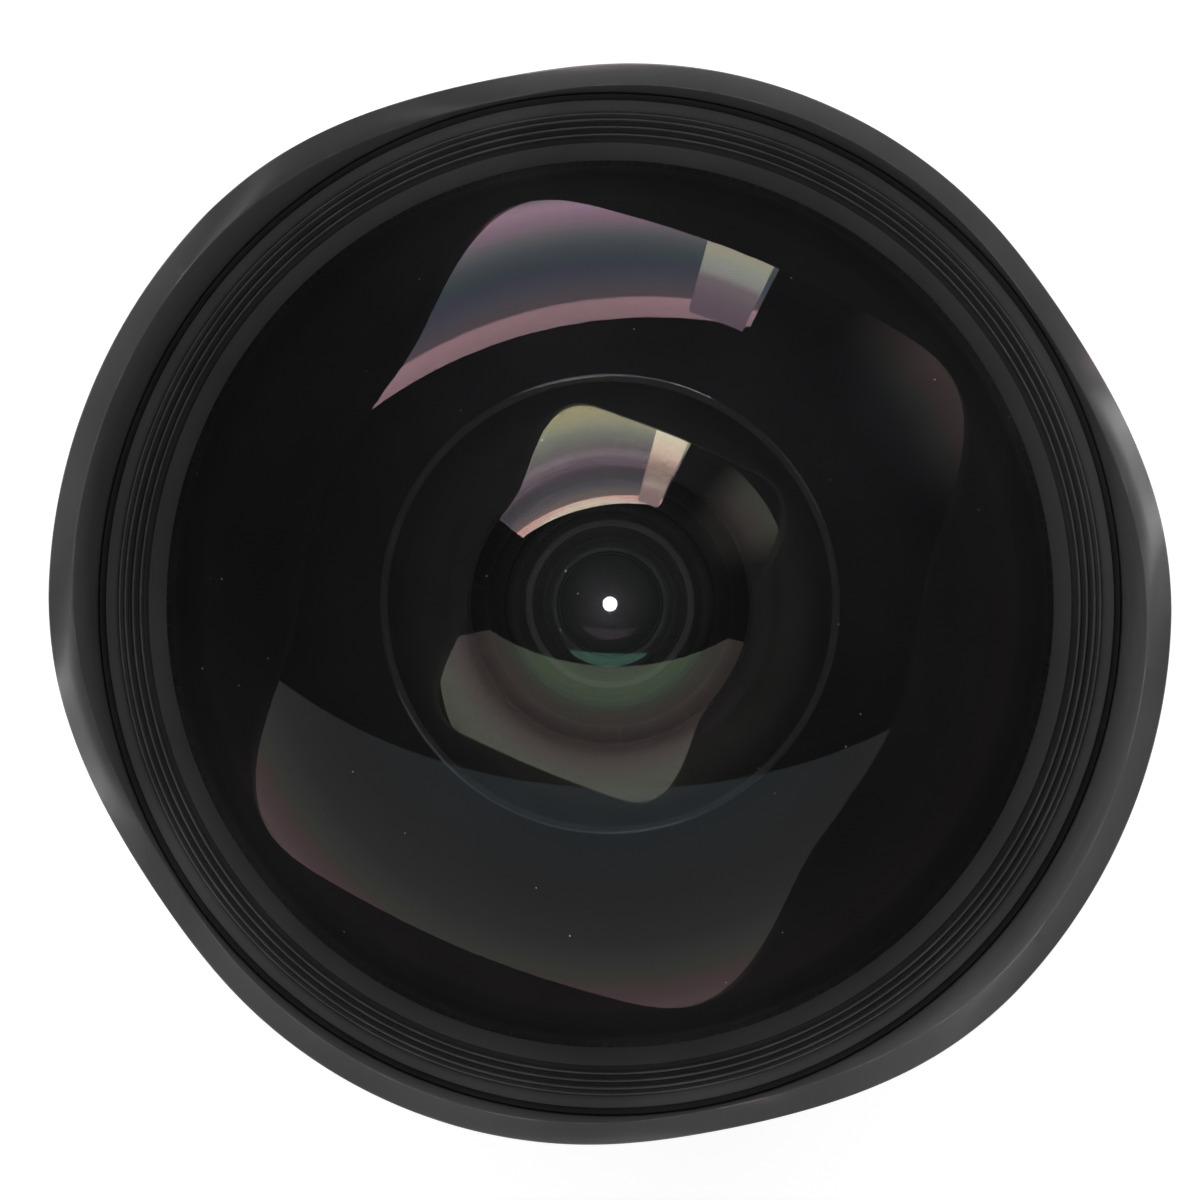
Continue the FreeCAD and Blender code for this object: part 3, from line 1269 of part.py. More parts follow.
def inner_cell():
    """Cell of elements 2 to 5, bolted in the chassis's front."""
    rim_2, rim_3, rim_4 = (rim(name) for name in INNER_GLASS)
    waist = rim_3 + INNER_CELL_WALL
    nose = FRONT_CELL_Z + INNER_CELL_NOSE
    return lathe((
        (rim_4 - CELL_LIP, INNER_CELL_Z),
        (waist, INNER_CELL_Z),
        (INNER_CELL_R, seat_rear("element_2") - INNER_CELL_FLANGE_THICKNESS),
        (INNER_CELL_R, CHASSIS_TOP),
        (INNER_CELL_FLANGE_R, CHASSIS_TOP),
        (INNER_CELL_FLANGE_R, FRONT_CELL_Z),
        (INNER_CELL_R, FRONT_CELL_Z),
        (INNER_CELL_R, nose),
        (rim_2 + SEAT, nose),
        (rim_2 + SEAT, seat_rear("element_2")),
        (rim_3 + SEAT, seat_rear("element_2")),
        (rim_3 + SEAT, seat_rear("element_3")),
        (rim_4 + SEAT, seat_rear("element_3")),
        (rim_4 + SEAT, seat_rear("elements_4_5")),
        (rim_4 - CELL_LIP, seat_rear("elements_4_5")),
    ))


def front_cell():
    """Cell of the front element, with the narrow ledge seen inside the hood."""
    return lathe((
        (FRONT_CELL_BORE_R, FRONT_CELL_Z),
        (FRONT_CELL_SPIGOT_R, FRONT_CELL_Z),
        (FRONT_CELL_SPIGOT_R, HOOD_BASE_TOP),
        (FRONT_CELL_R, HOOD_BASE_TOP),
        (FRONT_CELL_R, FRONT_CELL_LEDGE_Z),
        (RETAINER_R + RUNNING, FRONT_CELL_LEDGE_Z),
        (RETAINER_R + RUNNING, RETAINER_SEAT),
        (FRONT_RIM_R + SEAT, RETAINER_SEAT),
        (FRONT_RIM_R + SEAT, FRONT_RIM_Z),
        (FRONT_CELL_POCKET_R, FRONT_RIM_Z),
        (FRONT_CELL_POCKET_R, HOOD_BASE_TOP),
        (FRONT_CELL_BORE_R, HOOD_BASE_TOP),
    ))


def front_retainer():
    """Retaining ring: a bright cone next to the glass, then fine ridges that climb outwards."""
    seat = RETAINER_SEAT
    lip = conic_height(RETAINER_LIP_R, FRONT_VERTEX_Z, FRONT_RADIUS, FRONT_CONIC) + SLIP
    cone = RETAINER_LIP_R + RETAINER_CONE_WIDTH
    groove = cone + RETAINER_GROOVE_WIDTH
    pitch = (RETAINER_R - RETAINER_RIDGE_WIDTH - groove) / RETAINER_RIDGE_COUNT
    inside = [
        (RETAINER_LIP_R, lip),
        (RETAINER_LIP_R, lip + SLIP),
        (cone, seat + RETAINER_CONE_RISE),
        (cone, seat + RETAINER_CONE_RISE / 2),
        (groove, seat + RETAINER_CONE_RISE / 2),
    ]
    for i in range(RETAINER_RIDGE_COUNT):
        start = groove + pitch * i
        crest = seat + RETAINER_HEIGHT - RETAINER_RIDGE_RISE * (RETAINER_RIDGE_COUNT - i)
        end = start + RETAINER_RIDGE_FLANK + RETAINER_RIDGE_WIDTH
        inside += [
            (start + RETAINER_RIDGE_FLANK, crest),
            (end, crest),
            (end + RETAINER_RIDGE_FLANK, crest - RETAINER_RIDGE_DEPTH),
            (start + pitch, crest - RETAINER_RIDGE_DEPTH),
        ]
    outside = [
        (RETAINER_R - RETAINER_RIDGE_WIDTH, seat + RETAINER_HEIGHT),
        (RETAINER_R, seat + RETAINER_HEIGHT),
        (RETAINER_R, seat),
        (FRONT_RIM_R + RETAINER_FOOT, seat),
    ]
    return lathe(inside + outside)


def front_baffle():
    """Black cone close behind the front element's blackened cone."""
    slope = (front_rear_rim() - FRONT_RIM_Z) / (FRONT_REAR_SHOULDER_R - FRONT_REAR_CLEAR_R)
    foot = FRONT_CELL_POCKET_R - SLIP - FREE_GAP
    inner = foot - BAFFLE_THICKNESS
    top = front_rear_rim() - BAFFLE_GAP
    low = top - BAFFLE_THICKNESS
    return lathe((
        (FRONT_REAR_CLEAR_R, top),
        (foot, top - slope * (foot - FRONT_REAR_CLEAR_R)),
        (foot, HOOD_BASE_TOP),
        (inner, HOOD_BASE_TOP),
        (inner, low - slope * (inner - FRONT_REAR_CLEAR_R)),
        (FRONT_REAR_CLEAR_R, low),
    ))


# Front barrel and hood

def front_barrel():
    """Flared shell between the focus ring and the hood."""
    flare_start = FRONT_BARREL_Z + FRONT_BARREL_STRAIGHT
    flare_end = FRONT_BARREL_TOP - HOOD_LIP
    return lathe((
        (FRONT_BARREL_BORE_R, FRONT_BARREL_Z),
        (CORE_RIM_R - BARREL_EDGE, FRONT_BARREL_Z),
        (CORE_RIM_R, FRONT_BARREL_Z + BARREL_EDGE),
        (CORE_RIM_R, flare_start),
        (HOOD_R, flare_end),
        (HOOD_R, FRONT_BARREL_TOP),
        (HOOD_INNER_R, FRONT_BARREL_TOP),
        (HOOD_INNER_R, FRONT_CELL_Z),
        (INNER_CELL_FLANGE_R + SLIP, FRONT_CELL_Z),
        (INNER_CELL_FLANGE_R + SLIP, FRONT_CELL_Z - FRONT_BARREL_WEB_THICKNESS),
        (FRONT_BARREL_BORE_R, FRONT_CELL_Z - FRONT_BARREL_WEB_THICKNESS),
    ))


def petal_edge():
    """The hood's edge seen along X, from a short petal's middle outwards."""
    arch = [(share * HOOD_R, HOOD_VALLEY_Z + rise * HOOD_ARCH_RISE) for share, rise in PETAL_ARCH]
    flank = [(share * HOOD_R, HOOD_VALLEY_Z + rise * HOOD_VALLEY_DROP) for share, rise in PETAL_FLANK]
    return arch + flank


def petal_cutter():
    """The room above the petals' edge, through the whole hood along X."""
    half = petal_edge()
    both = [(-y, z) for y, z in reversed(half)] + half[1:]
    start = -HOOD_R - OVERSHOOT
    curve = Part.BSplineCurve()
    curve.interpolate(Points=[V(start, y, z) for y, z in both])
    left, right = both[0], both[-1]
    top = HOOD_TIP_Z + HOOD_ARCH_RISE
    corners = [
        V(start, right[0], right[1]),
        V(start, right[0], top),
        V(start, left[0], top),
        V(start, left[0], left[1]),
    ]
    edges = [curve.toShape()] + [Part.LineSegment(a, b).toShape() for a, b in zip(corners, corners[1:])]
    face = Part.Face(Part.Wire(Part.__sortEdges__(edges)))
    return face.extrude(V(-2 * start, 0, 0))


def hood():
    """Fixed petal hood with its base flange."""
    bevel = BARREL_EDGE / 2
    body = lathe((
        (HOOD_BASE_R, FRONT_BARREL_TOP),
        (HOOD_R, FRONT_BARREL_TOP),
        (HOOD_R, HOOD_TIP_Z - bevel),
        (HOOD_R - bevel, HOOD_TIP_Z),
        (HOOD_INNER_R + bevel, HOOD_TIP_Z),
        (HOOD_INNER_R, HOOD_TIP_Z - bevel),
        (HOOD_INNER_R, HOOD_BASE_TOP),
        (HOOD_BASE_R, HOOD_BASE_TOP),
    ))
    return body.cut(petal_cutter())


def pieces():
    """Every node of the lens, from the bayonet to the hood."""
    nodes = {
        "mount_ring": mount_ring(),
        "mount_screws": mount_screws(),
        "mount_gasket": mount_gasket(),
        "rear_skirt": rear_skirt(),
        "contact_block": contact_block(),
        "contact_pads": contact_pads(),
        "circuit_board": circuit_board(),
        "flex_cable": flex_cable(),
        "chassis": chassis(),
        "rear_barrel": rear_barrel(),
        "control_barrel": control_barrel(),
        "distance_window": distance_window(),
        "switch_plate": switch_plate(),
        "af_mf_switch": af_mf_switch(),
        "motor_spring_washer": spring_washer(),
        "motor_stator": motor_stator(),
        "motor_rotor": motor_rotor(),
        "manual_drive_ring": manual_drive_ring(),
        "scale_ring": scale_ring(),
        "cam_barrel": cam_barrel(),
        "bearing_sleeve": bearing_sleeve(),
        "focus_core": focus_core(),
        "focus_grip": focus_grip(),
        "focus_carrier": focus_carrier(),
        "cam_followers": cam_followers(),
        "diaphragm_base": diaphragm_base(),
        "diaphragm_cover": diaphragm_cover(),
        "aperture_ring": aperture_ring(),
        "aperture_lever": aperture_lever(),
        "aperture_spring": aperture_spring(),
        "rear_cell": rear_cell(),
        "inner_cell": inner_cell(),
        "front_cell": front_cell(),
        "front_retainer": front_retainer(),
        "front_baffle": front_baffle(),
        "front_barrel": front_barrel(),
        "hood": hood(),
        "element_1": front_element(),
    }
    for name in GLASS:
        nodes[name] = glass_group(name)
    for i in range(ROLLER_COUNT):
        nodes[f"drive_roller_{i + 1}"] = drive_roller(i)
    for i in range(BLADE_COUNT):
        nodes[f"aperture_blade_{i + 1}"] = aperture_blade(i)
    return nodes


def main():
    os.makedirs("parts", exist_ok=True)
    for name, shape in pieces().items():
        if not shape.isValid():
            raise ValueError(f"{name} is not a valid shape")
        shape.exportStep(f"parts/{name}.step")
        print(f"{name}: {len(shape.Solids)} solid(s), {shape.Volume:.1f} mm3")


main()
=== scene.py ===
"""Wide-angle prime lens: detailed surfaces, finishes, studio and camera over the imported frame."""

from __future__ import annotations

import logging
from dataclasses import dataclass
from enum import Enum
from math import cos, pi, radians, sin, sqrt, tan
from typing import Callable, Iterable, Sequence

import bmesh
import bpy
from bpy.types import Material, Mesh, Node, NodeSocket, Object
from mathutils import Matrix, Vector

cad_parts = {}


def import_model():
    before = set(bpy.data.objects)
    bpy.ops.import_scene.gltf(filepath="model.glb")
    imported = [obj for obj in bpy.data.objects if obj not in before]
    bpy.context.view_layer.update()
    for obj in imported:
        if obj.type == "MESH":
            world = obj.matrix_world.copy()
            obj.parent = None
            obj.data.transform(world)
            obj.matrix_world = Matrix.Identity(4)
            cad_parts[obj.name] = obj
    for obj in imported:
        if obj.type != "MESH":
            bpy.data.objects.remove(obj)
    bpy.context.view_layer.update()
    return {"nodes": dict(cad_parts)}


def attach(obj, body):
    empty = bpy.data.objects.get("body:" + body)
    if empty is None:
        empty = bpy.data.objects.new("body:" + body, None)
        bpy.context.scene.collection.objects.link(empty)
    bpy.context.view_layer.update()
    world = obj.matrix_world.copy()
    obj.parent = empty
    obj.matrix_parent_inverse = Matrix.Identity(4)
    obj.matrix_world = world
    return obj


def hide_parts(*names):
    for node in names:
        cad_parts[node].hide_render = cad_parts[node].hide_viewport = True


LOG = logging.getLogger("lens")
MM = 0.001
PAINT = 0.02            # how far painted marks stand off their surface, in millimetres
ROUND_STEPS = 320       # steps round the axis of a large turned piece
SMALLEST_RADIUS = 1e-6  # a smaller one, in millimetres, is a point on the axis
WELD = 1e-8             # closer vertices, in metres, are one
LETTER_STEPS = 6        # steps along each curve of a letter
BOUNCES = 32            # enough for a ray to get through every element
NOISE_RANGE = (0.3, 0.7)
Pair = tuple[float, float]
Colour = tuple[float, float, float]
Stops = Sequence[tuple[float, Colour]]
Outline = Sequence[Pair]                    # closed, corners as (radius, height) in millimetres
Profile = list[tuple[float, float, float]]  # points as (radius, height, edge), edge 1 on worn corners
Source = Node | NodeSocket


def grey(level: float) -> Colour:
    """A colour without hue."""
    return level, level, level


class Grain(Enum):
    """How a surface was made, which sets its fine relief."""

    SPRAYED = "sprayed"
    MOULDED = "moulded"
    TURNED = "turned"
    PLAIN = "plain"


class Tree:
    """A node tree, with short calls to add nodes."""

    def __init__(self, tree: bpy.types.NodeTree) -> None:
        """Takes over a tree."""
        self.tree = tree

    def feed(self, socket: NodeSocket, value: object) -> None:
        """Fills an input.

        Args:
            socket: The input.
            value: A number, a colour, a socket, or a node for its first output.
        """
        if isinstance(value, Node):
            value = value.outputs[0]
        if isinstance(value, NodeSocket):
            self.tree.links.new(value, socket)
        else:
            socket.default_value = (*value, 1.0) if isinstance(value, tuple) else value

    def node(self, kind: str, inputs: dict | None = None, **settings: object) -> Node:
        """Adds a node.

        Args:
            kind: The node's type name.
            inputs: What fills its inputs, by their names or numbers.
            **settings: Properties of the node.

        Returns:
            The new node.
        """
        made = self.tree.nodes.new(kind)
        for key, value in settings.items():
            setattr(made, key, value)
        for key, value in (inputs or {}).items():
            self.feed(made.inputs[key], value)
        return made

    def math(self, operation: str, *values: object) -> NodeSocket:
        """Adds a Math node on numbers or sockets."""
        return self.node("ShaderNodeMath", dict(enumerate(values)), operation=operation).outputs[0]


class Graph(Tree):
    """The node tree of one material or of the world."""

    def __init__(self, name: str, world: bpy.types.World | None = None) -> None:
        """Starts an empty tree with its output node.

        Args:
            name: The material's name.
            world: The world to fill instead of a new material.
        """
        self.material = world or bpy.data.materials.new(name)
        self.material.use_nodes = True
        super().__init__(self.material.node_tree)
        self.tree.nodes.clear()
        self.output = self.node("ShaderNodeOutputWorld" if world else "ShaderNodeOutputMaterial")

    def show(self, surface: Source) -> None:
        """Links the last shader to the output."""
        self.feed(self.output.inputs[0], surface)

    def place(self) -> NodeSocket:
        """Object coordinates, in metres."""
        return self.node("ShaderNodeTexCoord").outputs["Object"]

    def split(self, vector: Source) -> Sequence[NodeSocket]:
        """The three parts of a vector."""
        return self.node("ShaderNodeSeparateXYZ", {0: vector}).outputs

    def round_the_axis(self) -> tuple[NodeSocket, NodeSocket]:
        """Radius from the optical axis and height along it.

        Returns:
            The radius and height sockets, in metres.
        """
        x, y, z = self.split(self.place())
        squares = [self.math("MULTIPLY", part, part) for part in (x, y)]
        return self.math("SQRT", self.math("ADD", *squares)), z

    def mirrored(self) -> NodeSocket:
        """Tells how the surface is seen.

        Returns:
            The socket that is 1 in polished glass or metal, and 0 where the surface only gives light.
        """
        rays = self.node("ShaderNodeLightPath").outputs
        sharp = self.math("MAXIMUM", rays["Is Glossy Ray"], rays["Is Transmission Ray"])
        return self.math("MULTIPLY", sharp, self.math("LESS_THAN", rays["Diffuse Depth"], 0.5))

    def ramp(self, value: Source, stops: Stops) -> NodeSocket:
        """Adds a colour ramp.

        Args:
            value: Where on the ramp, from 0 to 1.
            stops: Positions and colours.

        Returns:
            The colour socket.
        """
        made = self.node("ShaderNodeValToRGB", {0: value})
        while len(made.color_ramp.elements) < len(stops):
            made.color_ramp.elements.new(0.5)
        for element, (position, colour) in zip(made.color_ramp.elements, stops):
            element.position = position
            element.color = (*colour, 1.0)
        return made.outputs[0]

    def by_radius(self, radius: NodeSocket, stops: Stops) -> NodeSocket:
        """Colours a face by distance from the axis.

        Args:
            radius: The distance's socket, in metres.
            stops: Distances in millimetres and their colours.

        Returns:
            The colour's socket.
        """
        reach = stops[-1][0]
        share = self.math("MULTIPLY", radius, 1 / (reach * MM))
        return self.ramp(share, [(r / reach, colour) for r, colour in stops])

    def noise(self, scale: float, detail: float, vector: Source | None = None) -> NodeSocket:
        """Noise around 0.5, by features per metre and octaves of detail, over the object or a vector."""
        inputs = {"Scale": scale, "Detail": detail, "Vector": vector or self.place()}
        return self.node("ShaderNodeTexNoise", inputs).outputs["Fac"]

    def cells(self, scale: float) -> Sequence[NodeSocket]:
        """Adds a cell texture and gives its outputs."""
        inputs = {"Scale": scale, "Vector": self.place()}
        return self.node("ShaderNodeTexVoronoi", inputs).outputs

    def mapped(self, value: Source, from_range: Pair, low: float, high: float) -> NodeSocket:
        """Maps a range of a value onto two numbers.

        Args:
            value: The value's socket.
            from_range: The value's own range.
            low: The result at its start.
            high: The result at its end.

        Returns:
            The result's socket.
        """
        start, end = from_range
        inputs = {"Value": value, "From Min": start, "From Max": end, "To Min": low, "To Max": high}
        return self.node("ShaderNodeMapRange", inputs).outputs["Result"]

    def spread(self, value: Source, low: float, high: float) -> NodeSocket:
        """Maps a noise value's usual range onto two numbers."""
        return self.mapped(value, NOISE_RANGE, low, high)

    def blend(self, share: object, a: object, b: object) -> NodeSocket:
        """Mixes two colours, given as colours or sockets, by the share of the second."""
        return self.node("ShaderNodeMix", {"Factor": share, 6: a, 7: b}, data_type="RGBA").outputs[2]

    def either(self, share: Source, a: Source, b: Source) -> Node:
        """Mixes two shaders by the share of the second."""
        return self.node("ShaderNodeMixShader", {0: share, 1: a, 2: b})

    def bump(self, height: NodeSocket, depth: float) -> Node:
        """Relief of a depth in metres, from a height between 0 and 1."""
        return self.node("ShaderNodeBump", {"Strength": 1.0, "Distance": depth, "Height": height})


class Finish:
    """What a surface is made of. Each finish is built once and then shared."""

    name: str

    def material(self) -> Material:
        """The finish's material, built if it isn't there yet."""
        return bpy.data.materials.get(self.name) or self.build(Graph(self.name))

    def build(self, graph: Graph) -> Material:
        """Fills the material's tree."""
        raise NotImplementedError


@dataclass(frozen=True)
class SolidFinish(Finish):
    """An opaque finish: colour variation, worn edges, and relief by how it was made."""

    name: str
    colour: Colour
    roughness: float
    metallic: float = 0.0
    variation: float = 0.12
    grain: Grain = Grain.SPRAYED
    grain_scale: float = 6000.0
    grain_depth: float = 0.000012
    wear: Colour | None = None
    sheen: float = 0.0
    gloss: float = 0.5
    grain_detail: float = 3.0
    cloud: Pair = (90.0, 4.0)
    patches: Pair = (260.0, 5.0)
    bare_below: float = -0.5
    smudges: Pair = (160.0, 3.0)
    smudge_share: float = 0.15

    def build(self, graph: Graph) -> Material:
        """Fills the material's tree.

        Args:
            graph: The empty tree.

        Returns:
            The material.
        """
        darker = tuple(c * (1 - self.variation) for c in self.colour)
        lighter = tuple(min(1.0, c * (1 + self.variation)) for c in self.colour)
        colour = graph.blend(graph.spread(graph.noise(*self.cloud), 0.0, 1.0), darker, lighter)
        if self.wear:
            edge = graph.node("ShaderNodeAttribute", attribute_name="edge").outputs["Fac"]
            patchy = graph.spread(graph.noise(*self.patches), self.bare_below, 1.0)
            colour = graph.blend(graph.math("MULTIPLY", edge, patchy), colour, self.wear)
        smudged = [self.roughness * (1 + share) for share in (-self.smudge_share, self.smudge_share)]
        inputs = {
            "Base Color": colour,
            "Roughness": graph.spread(graph.noise(*self.smudges), *smudged),
            "Metallic": self.metallic,
            "Sheen Weight": self.sheen,
            "Specular IOR Level": self.gloss,
        }
        if self.grain is not Grain.PLAIN:
            inputs["Normal"] = graph.bump(self.relief(graph), self.grain_depth)
        graph.show(graph.node("ShaderNodeBsdfPrincipled", inputs))
        return graph.material

    def relief(self, graph: Graph) -> NodeSocket:
        """The fine relief's height.

        Args:
            graph: The material's tree.

        Returns:
            The height's socket.
        """
        if self.grain is Grain.MOULDED:
            return graph.cells(self.grain_scale)["Distance"]
        where = None
        if self.grain is Grain.TURNED:
            radius, height = graph.round_the_axis()
            where = graph.node("ShaderNodeCombineXYZ", {0: radius, 2: height})
        return graph.noise(self.grain_scale, self.grain_detail, where)


@dataclass(frozen=True)
class GlassFinish(Finish):
    """A polished glass face. Its coating tints the reflection by distance from the optical axis."""

    name: str
    ior: float
    tints: Stops
    # haze and the settings after it: a pale diffuse film by radius, which is painted glare over the dark
    # glass, with thin painted rings of light on the second element
    haze_and_painted_glare: Sequence[Pair] = ()
    dust: float = 0.0
    haze_and_glare_colour: Colour = (0.84, 0.85, 0.87)
    haze_and_glare_patches: Pair = (140.0, 3.0)
    haze_and_glare_share: Pair = (0.85, 1.15)
    dust_colour: Colour = (0.75, 0.74, 0.72)
    dust_scale: float = 640.0
    dust_free: float = 0.6

    def build(self, graph: Graph) -> Material:
        """Fills the material's tree.

        Args:
            graph: The empty tree.

        Returns:
            The material.
        """
        inputs = {"Base Color": grey(1.0), "Roughness": 0.0, "Transmission Weight": 1.0, "IOR": self.ior}
        radius, _ = graph.round_the_axis()
        if self.tints:
            inputs["Specular Tint"] = graph.by_radius(radius, self.tints)
        surface = graph.node("ShaderNodeBsdfPrincipled", inputs)
        # Painted glare: a pale diffuse film, mixed in by radius, lifts the dark glass and paints thin
        # rings of light
        if self.haze_and_painted_glare:
            shares = graph.by_radius(radius, [(r, grey(share)) for r, share in self.haze_and_painted_glare])
            patchy = graph.spread(graph.noise(*self.haze_and_glare_patches), *self.haze_and_glare_share)
            share = graph.math("MULTIPLY", shares, patchy)
            film = graph.node("ShaderNodeBsdfDiffuse", {0: self.haze_and_glare_colour})
            surface = graph.either(share, surface, film)
        if self.dust:
            film = graph.node("ShaderNodeBsdfDiffuse", {0: self.dust_colour})
            surface = graph.either(self.specks(graph), surface, film)
        graph.show(surface)
        return graph.material

    def specks(self, graph: Graph) -> NodeSocket:
        """Scatters a few specks of dust.

        Args:
            graph: The material's tree.

        Returns:
            The socket that is 1 on a speck.
        """
        cells = graph.cells(self.dust_scale)
        red, green, _ = graph.node("ShaderNodeSeparateColor", {0: cells["Color"]}).outputs
        near = graph.math("LESS_THAN", cells["Distance"], graph.math("MULTIPLY", green, self.dust))
        return graph.math("MULTIPLY", near, graph.math("GREATER_THAN", red, self.dust_free))


BLACK_EDGE = SolidFinish(
    "blackened_glass_edge", (0.024, 0.024, 0.026), 0.95, grain=Grain.PLAIN, gloss=0.0
)
HOOD_OUTSIDE = SolidFinish(
    "satin_black_metal", (0.06, 0.06, 0.061), 0.38, wear=(0.2, 0.198, 0.19), grain_depth=0.000006
)
# A lighter copy of the hood's satin black for the rim's face: painted light where the rim faces the
# lamps, with rubbed wear on its edges
HOOD_RIM_LIT_AND_RUBBED = SolidFinish(
    "black_rim_rubbed_and_painted_lit", (0.09, 0.09, 0.091), 0.32, wear=grey(0.2), grain_depth=0.000004, gloss=0.8
)
HOOD_INSIDE = SolidFinish(
    "matt_black_inside", (0.084, 0.085, 0.086), 0.7, grain_scale=9000.0, grain_depth=0.00002
)
BARREL = SolidFinish(
    "fine_grain_black", (0.016, 0.016, 0.0165), 0.48, wear=(0.05, 0.05, 0.049), grain_depth=0.00002
)
RUBBER = SolidFinish(
    "ribbed_rubber", grey(0.018), 0.62, grain=Grain.MOULDED, grain_scale=4200.0, sheen=0.12
)
RING_EDGE = SolidFinish(
    "turned_black_ring", (0.056, 0.057, 0.057), 0.5, wear=grey(0.15), grain=Grain.TURNED
)
FELT = SolidFinish(
    "black_felt", (0.085, 0.085, 0.086), 0.95, grain_scale=9000.0, grain_depth=0.00003, gloss=0.1
)
# A lighter copy of the turned black ring: painted light on faces that point at the lamps, the ring's
# crests, its outermost step and the cell's ledge
LEDGE_PAINTED_LIT = SolidFinish(
    "turned_black_ledge_painted_lit", (0.095, 0.096, 0.097), 0.45, wear=grey(0.17), grain=Grain.TURNED
)
BRIGHT_CONE = SolidFinish(
    "grey_cone", (0.056, 0.057, 0.057), 0.55, grain=Grain.TURNED, grain_depth=0.000004
)
FLAT_BLACK = SolidFinish("flat_black", (0.03, 0.03, 0.032), 0.85, grain_depth=0.00002)
CHROME = SolidFinish(
    "turned_chromed_brass", (0.62, 0.61, 0.59), 0.24, 1.0, 0.06, Grain.TURNED, 9000.0, 0.000004
)
STEEL = SolidFinish("turned_steel", (0.52, 0.52, 0.53), 0.3, 1.0, 0.08, Grain.TURNED, 7000.0, 0.000005)
BRASS = SolidFinish("bare_brass", (0.68, 0.47, 0.2), 0.3, 1.0, 0.1, Grain.TURNED, 6000.0, 0.000005)
GOLD = SolidFinish("gold_contacts", (0.83, 0.6, 0.24), 0.22, 1.0, 0.05, Grain.SPRAYED, 8000.0, 0.000003)
ALLOY = SolidFinish("black_alloy", (0.03, 0.03, 0.031), 0.4, 0.6, 0.2, Grain.TURNED, 5000.0, 0.00001)
PLASTIC = SolidFinish(
    "black_plastic", (0.018, 0.018, 0.019), 0.45, grain=Grain.MOULDED, grain_scale=5200.0
)
SEAL = SolidFinish("seal_rubber", grey(0.016), 0.7, grain=Grain.SPRAYED, sheen=0.1)
BOARD = SolidFinish("green_board", (0.012, 0.09, 0.045), 0.42, variation=0.35, grain_scale=3000.0)
FLEX = SolidFinish("amber_flex", (0.42, 0.17, 0.04), 0.35, variation=0.15, grain_scale=3000.0)
CERAMIC = SolidFinish("stator_metal", (0.45, 0.42, 0.36), 0.38, 0.9, 0.1, Grain.TURNED, 6000.0)
WHITE_PAINT = SolidFinish("white_paint", (0.75, 0.75, 0.73), 0.5, variation=0.04, grain=Grain.PLAIN)
ORANGE_PAINT = SolidFinish("orange_paint", (0.75, 0.3, 0.05), 0.5, variation=0.06, grain=Grain.PLAIN)

OUTER_GLASS = GlassFinish(
    "front_coating",
    1.58,
    (
        (0.0, grey(0.37)), (19.0, (0.35, 0.47, 0.52)), (25.0, grey(0.4)),
        (29.5, (0.52, 0.5, 0.53)), (31.3, (0.67, 0.68, 0.65)), (32.2, (0.74, 0.8, 0.63)),
        (33.1, (0.88, 0.8, 0.63)), (34.0, (1.25, 0.79, 0.78)), (35.0, (1.48, 0.88, 0.94)),
        (36.0, (1.85, 1.15, 1.17)), (36.8, (0.6, 0.55, 0.58)), (39.7, (0.35, 0.35, 0.38)),
    ),
    # painted glare, strongest at the rim next to the retaining ring
    ((30.0, 0.0), (35.0, 0.005), (38.5, 0.01), (39.7, 0.035)),
    0.05,
)
BACK_GLASS = GlassFinish(
    "warm_coating",
    1.58,
    (
        (4.5, (1.36, 1.61, 1.27)), (6.5, (1.7, 2.29, 1.44)), (7.6, (1.44, 2.11, 1.27)),
        (8.6, (1.19, 1.61, 1.19)), (9.0, (1.1, 1.1, 0.86)), (10.4, (1.12, 0.9, 0.8)),
        (11.2, (0.75, 0.54, 0.5)), (12.2, (0.95, 0.69, 0.62)), (13.2, (2.1, 1.7, 1.55)),
        (14.8, (2.65, 2.75, 2.15)), (16.4, (2.5, 2.65, 1.85)), (17.3, (1.0, 1.0, 0.95)),
        (18.9, (0.425, 0.425, 0.51)),
    ),
    # painted glare over the whole face, stronger at its rim
    ((0.0, 0.018), (18.2, 0.016), (18.5, 0.036), (18.9, 0.036)),
)
SECOND_GLASS = GlassFinish(
    "green_coating",
    1.75,
    ((0.0, (0.68, 1.7, 1.19)), (17.0, (0.68, 1.7, 1.27))),
    # painted glare with thin brighter painted rings
    (
        (0.0, 0.075), (2.2, 0.06), (4.3, 0.038), (5.8, 0.016), (6.4, 0.016), (6.5, 0.075), (6.85, 0.075),
        (6.95, 0.022), (8.6, 0.026), (9.3, 0.03), (9.4, 0.13), (10.0, 0.13), (10.1, 0.018),
        (11.2, 0.018), (11.4, 0.035), (11.7, 0.035), (11.9, 0.01), (12.3, 0.0),
    ),
)
INNER_GLASS = GlassFinish(
    "inner_coating", 1.6, ((0.0, (0.714, 0.612, 0.765)), (17.0, (0.85, 0.68, 0.85)))
)
CLEAR_PANE = GlassFinish("clear_window", 1.49, (), ((0.0, 0.004), (60.0, 0.004)), 0.05)


def mesh_object(name: str, mesh: Mesh) -> Object:
    """Links a mesh to the scene as an object at the origin.

    Args:
        name: The object's name.
        mesh: The mesh.

    Returns:
        The object.
    """
    made = bpy.data.objects.new(name, mesh)
    bpy.context.scene.collection.objects.link(made)
    return made


def to_mesh(name: str, bm: bmesh.types.BMesh) -> Mesh:
    """Turns a bmesh into a mesh and frees it.

    Args:
        name: The mesh's name.
        bm: The bmesh.

    Returns:
        The mesh.
    """
    mesh = bpy.data.meshes.new(name)
    bm.to_mesh(mesh)
    bm.free()
    return mesh


def spot(r: float, angle: float, z: float) -> tuple[float, float, float]:
    """A point in metres from a radius and height in millimetres and an angle in radians."""
    return r * cos(angle) * MM, r * sin(angle) * MM, z * MM


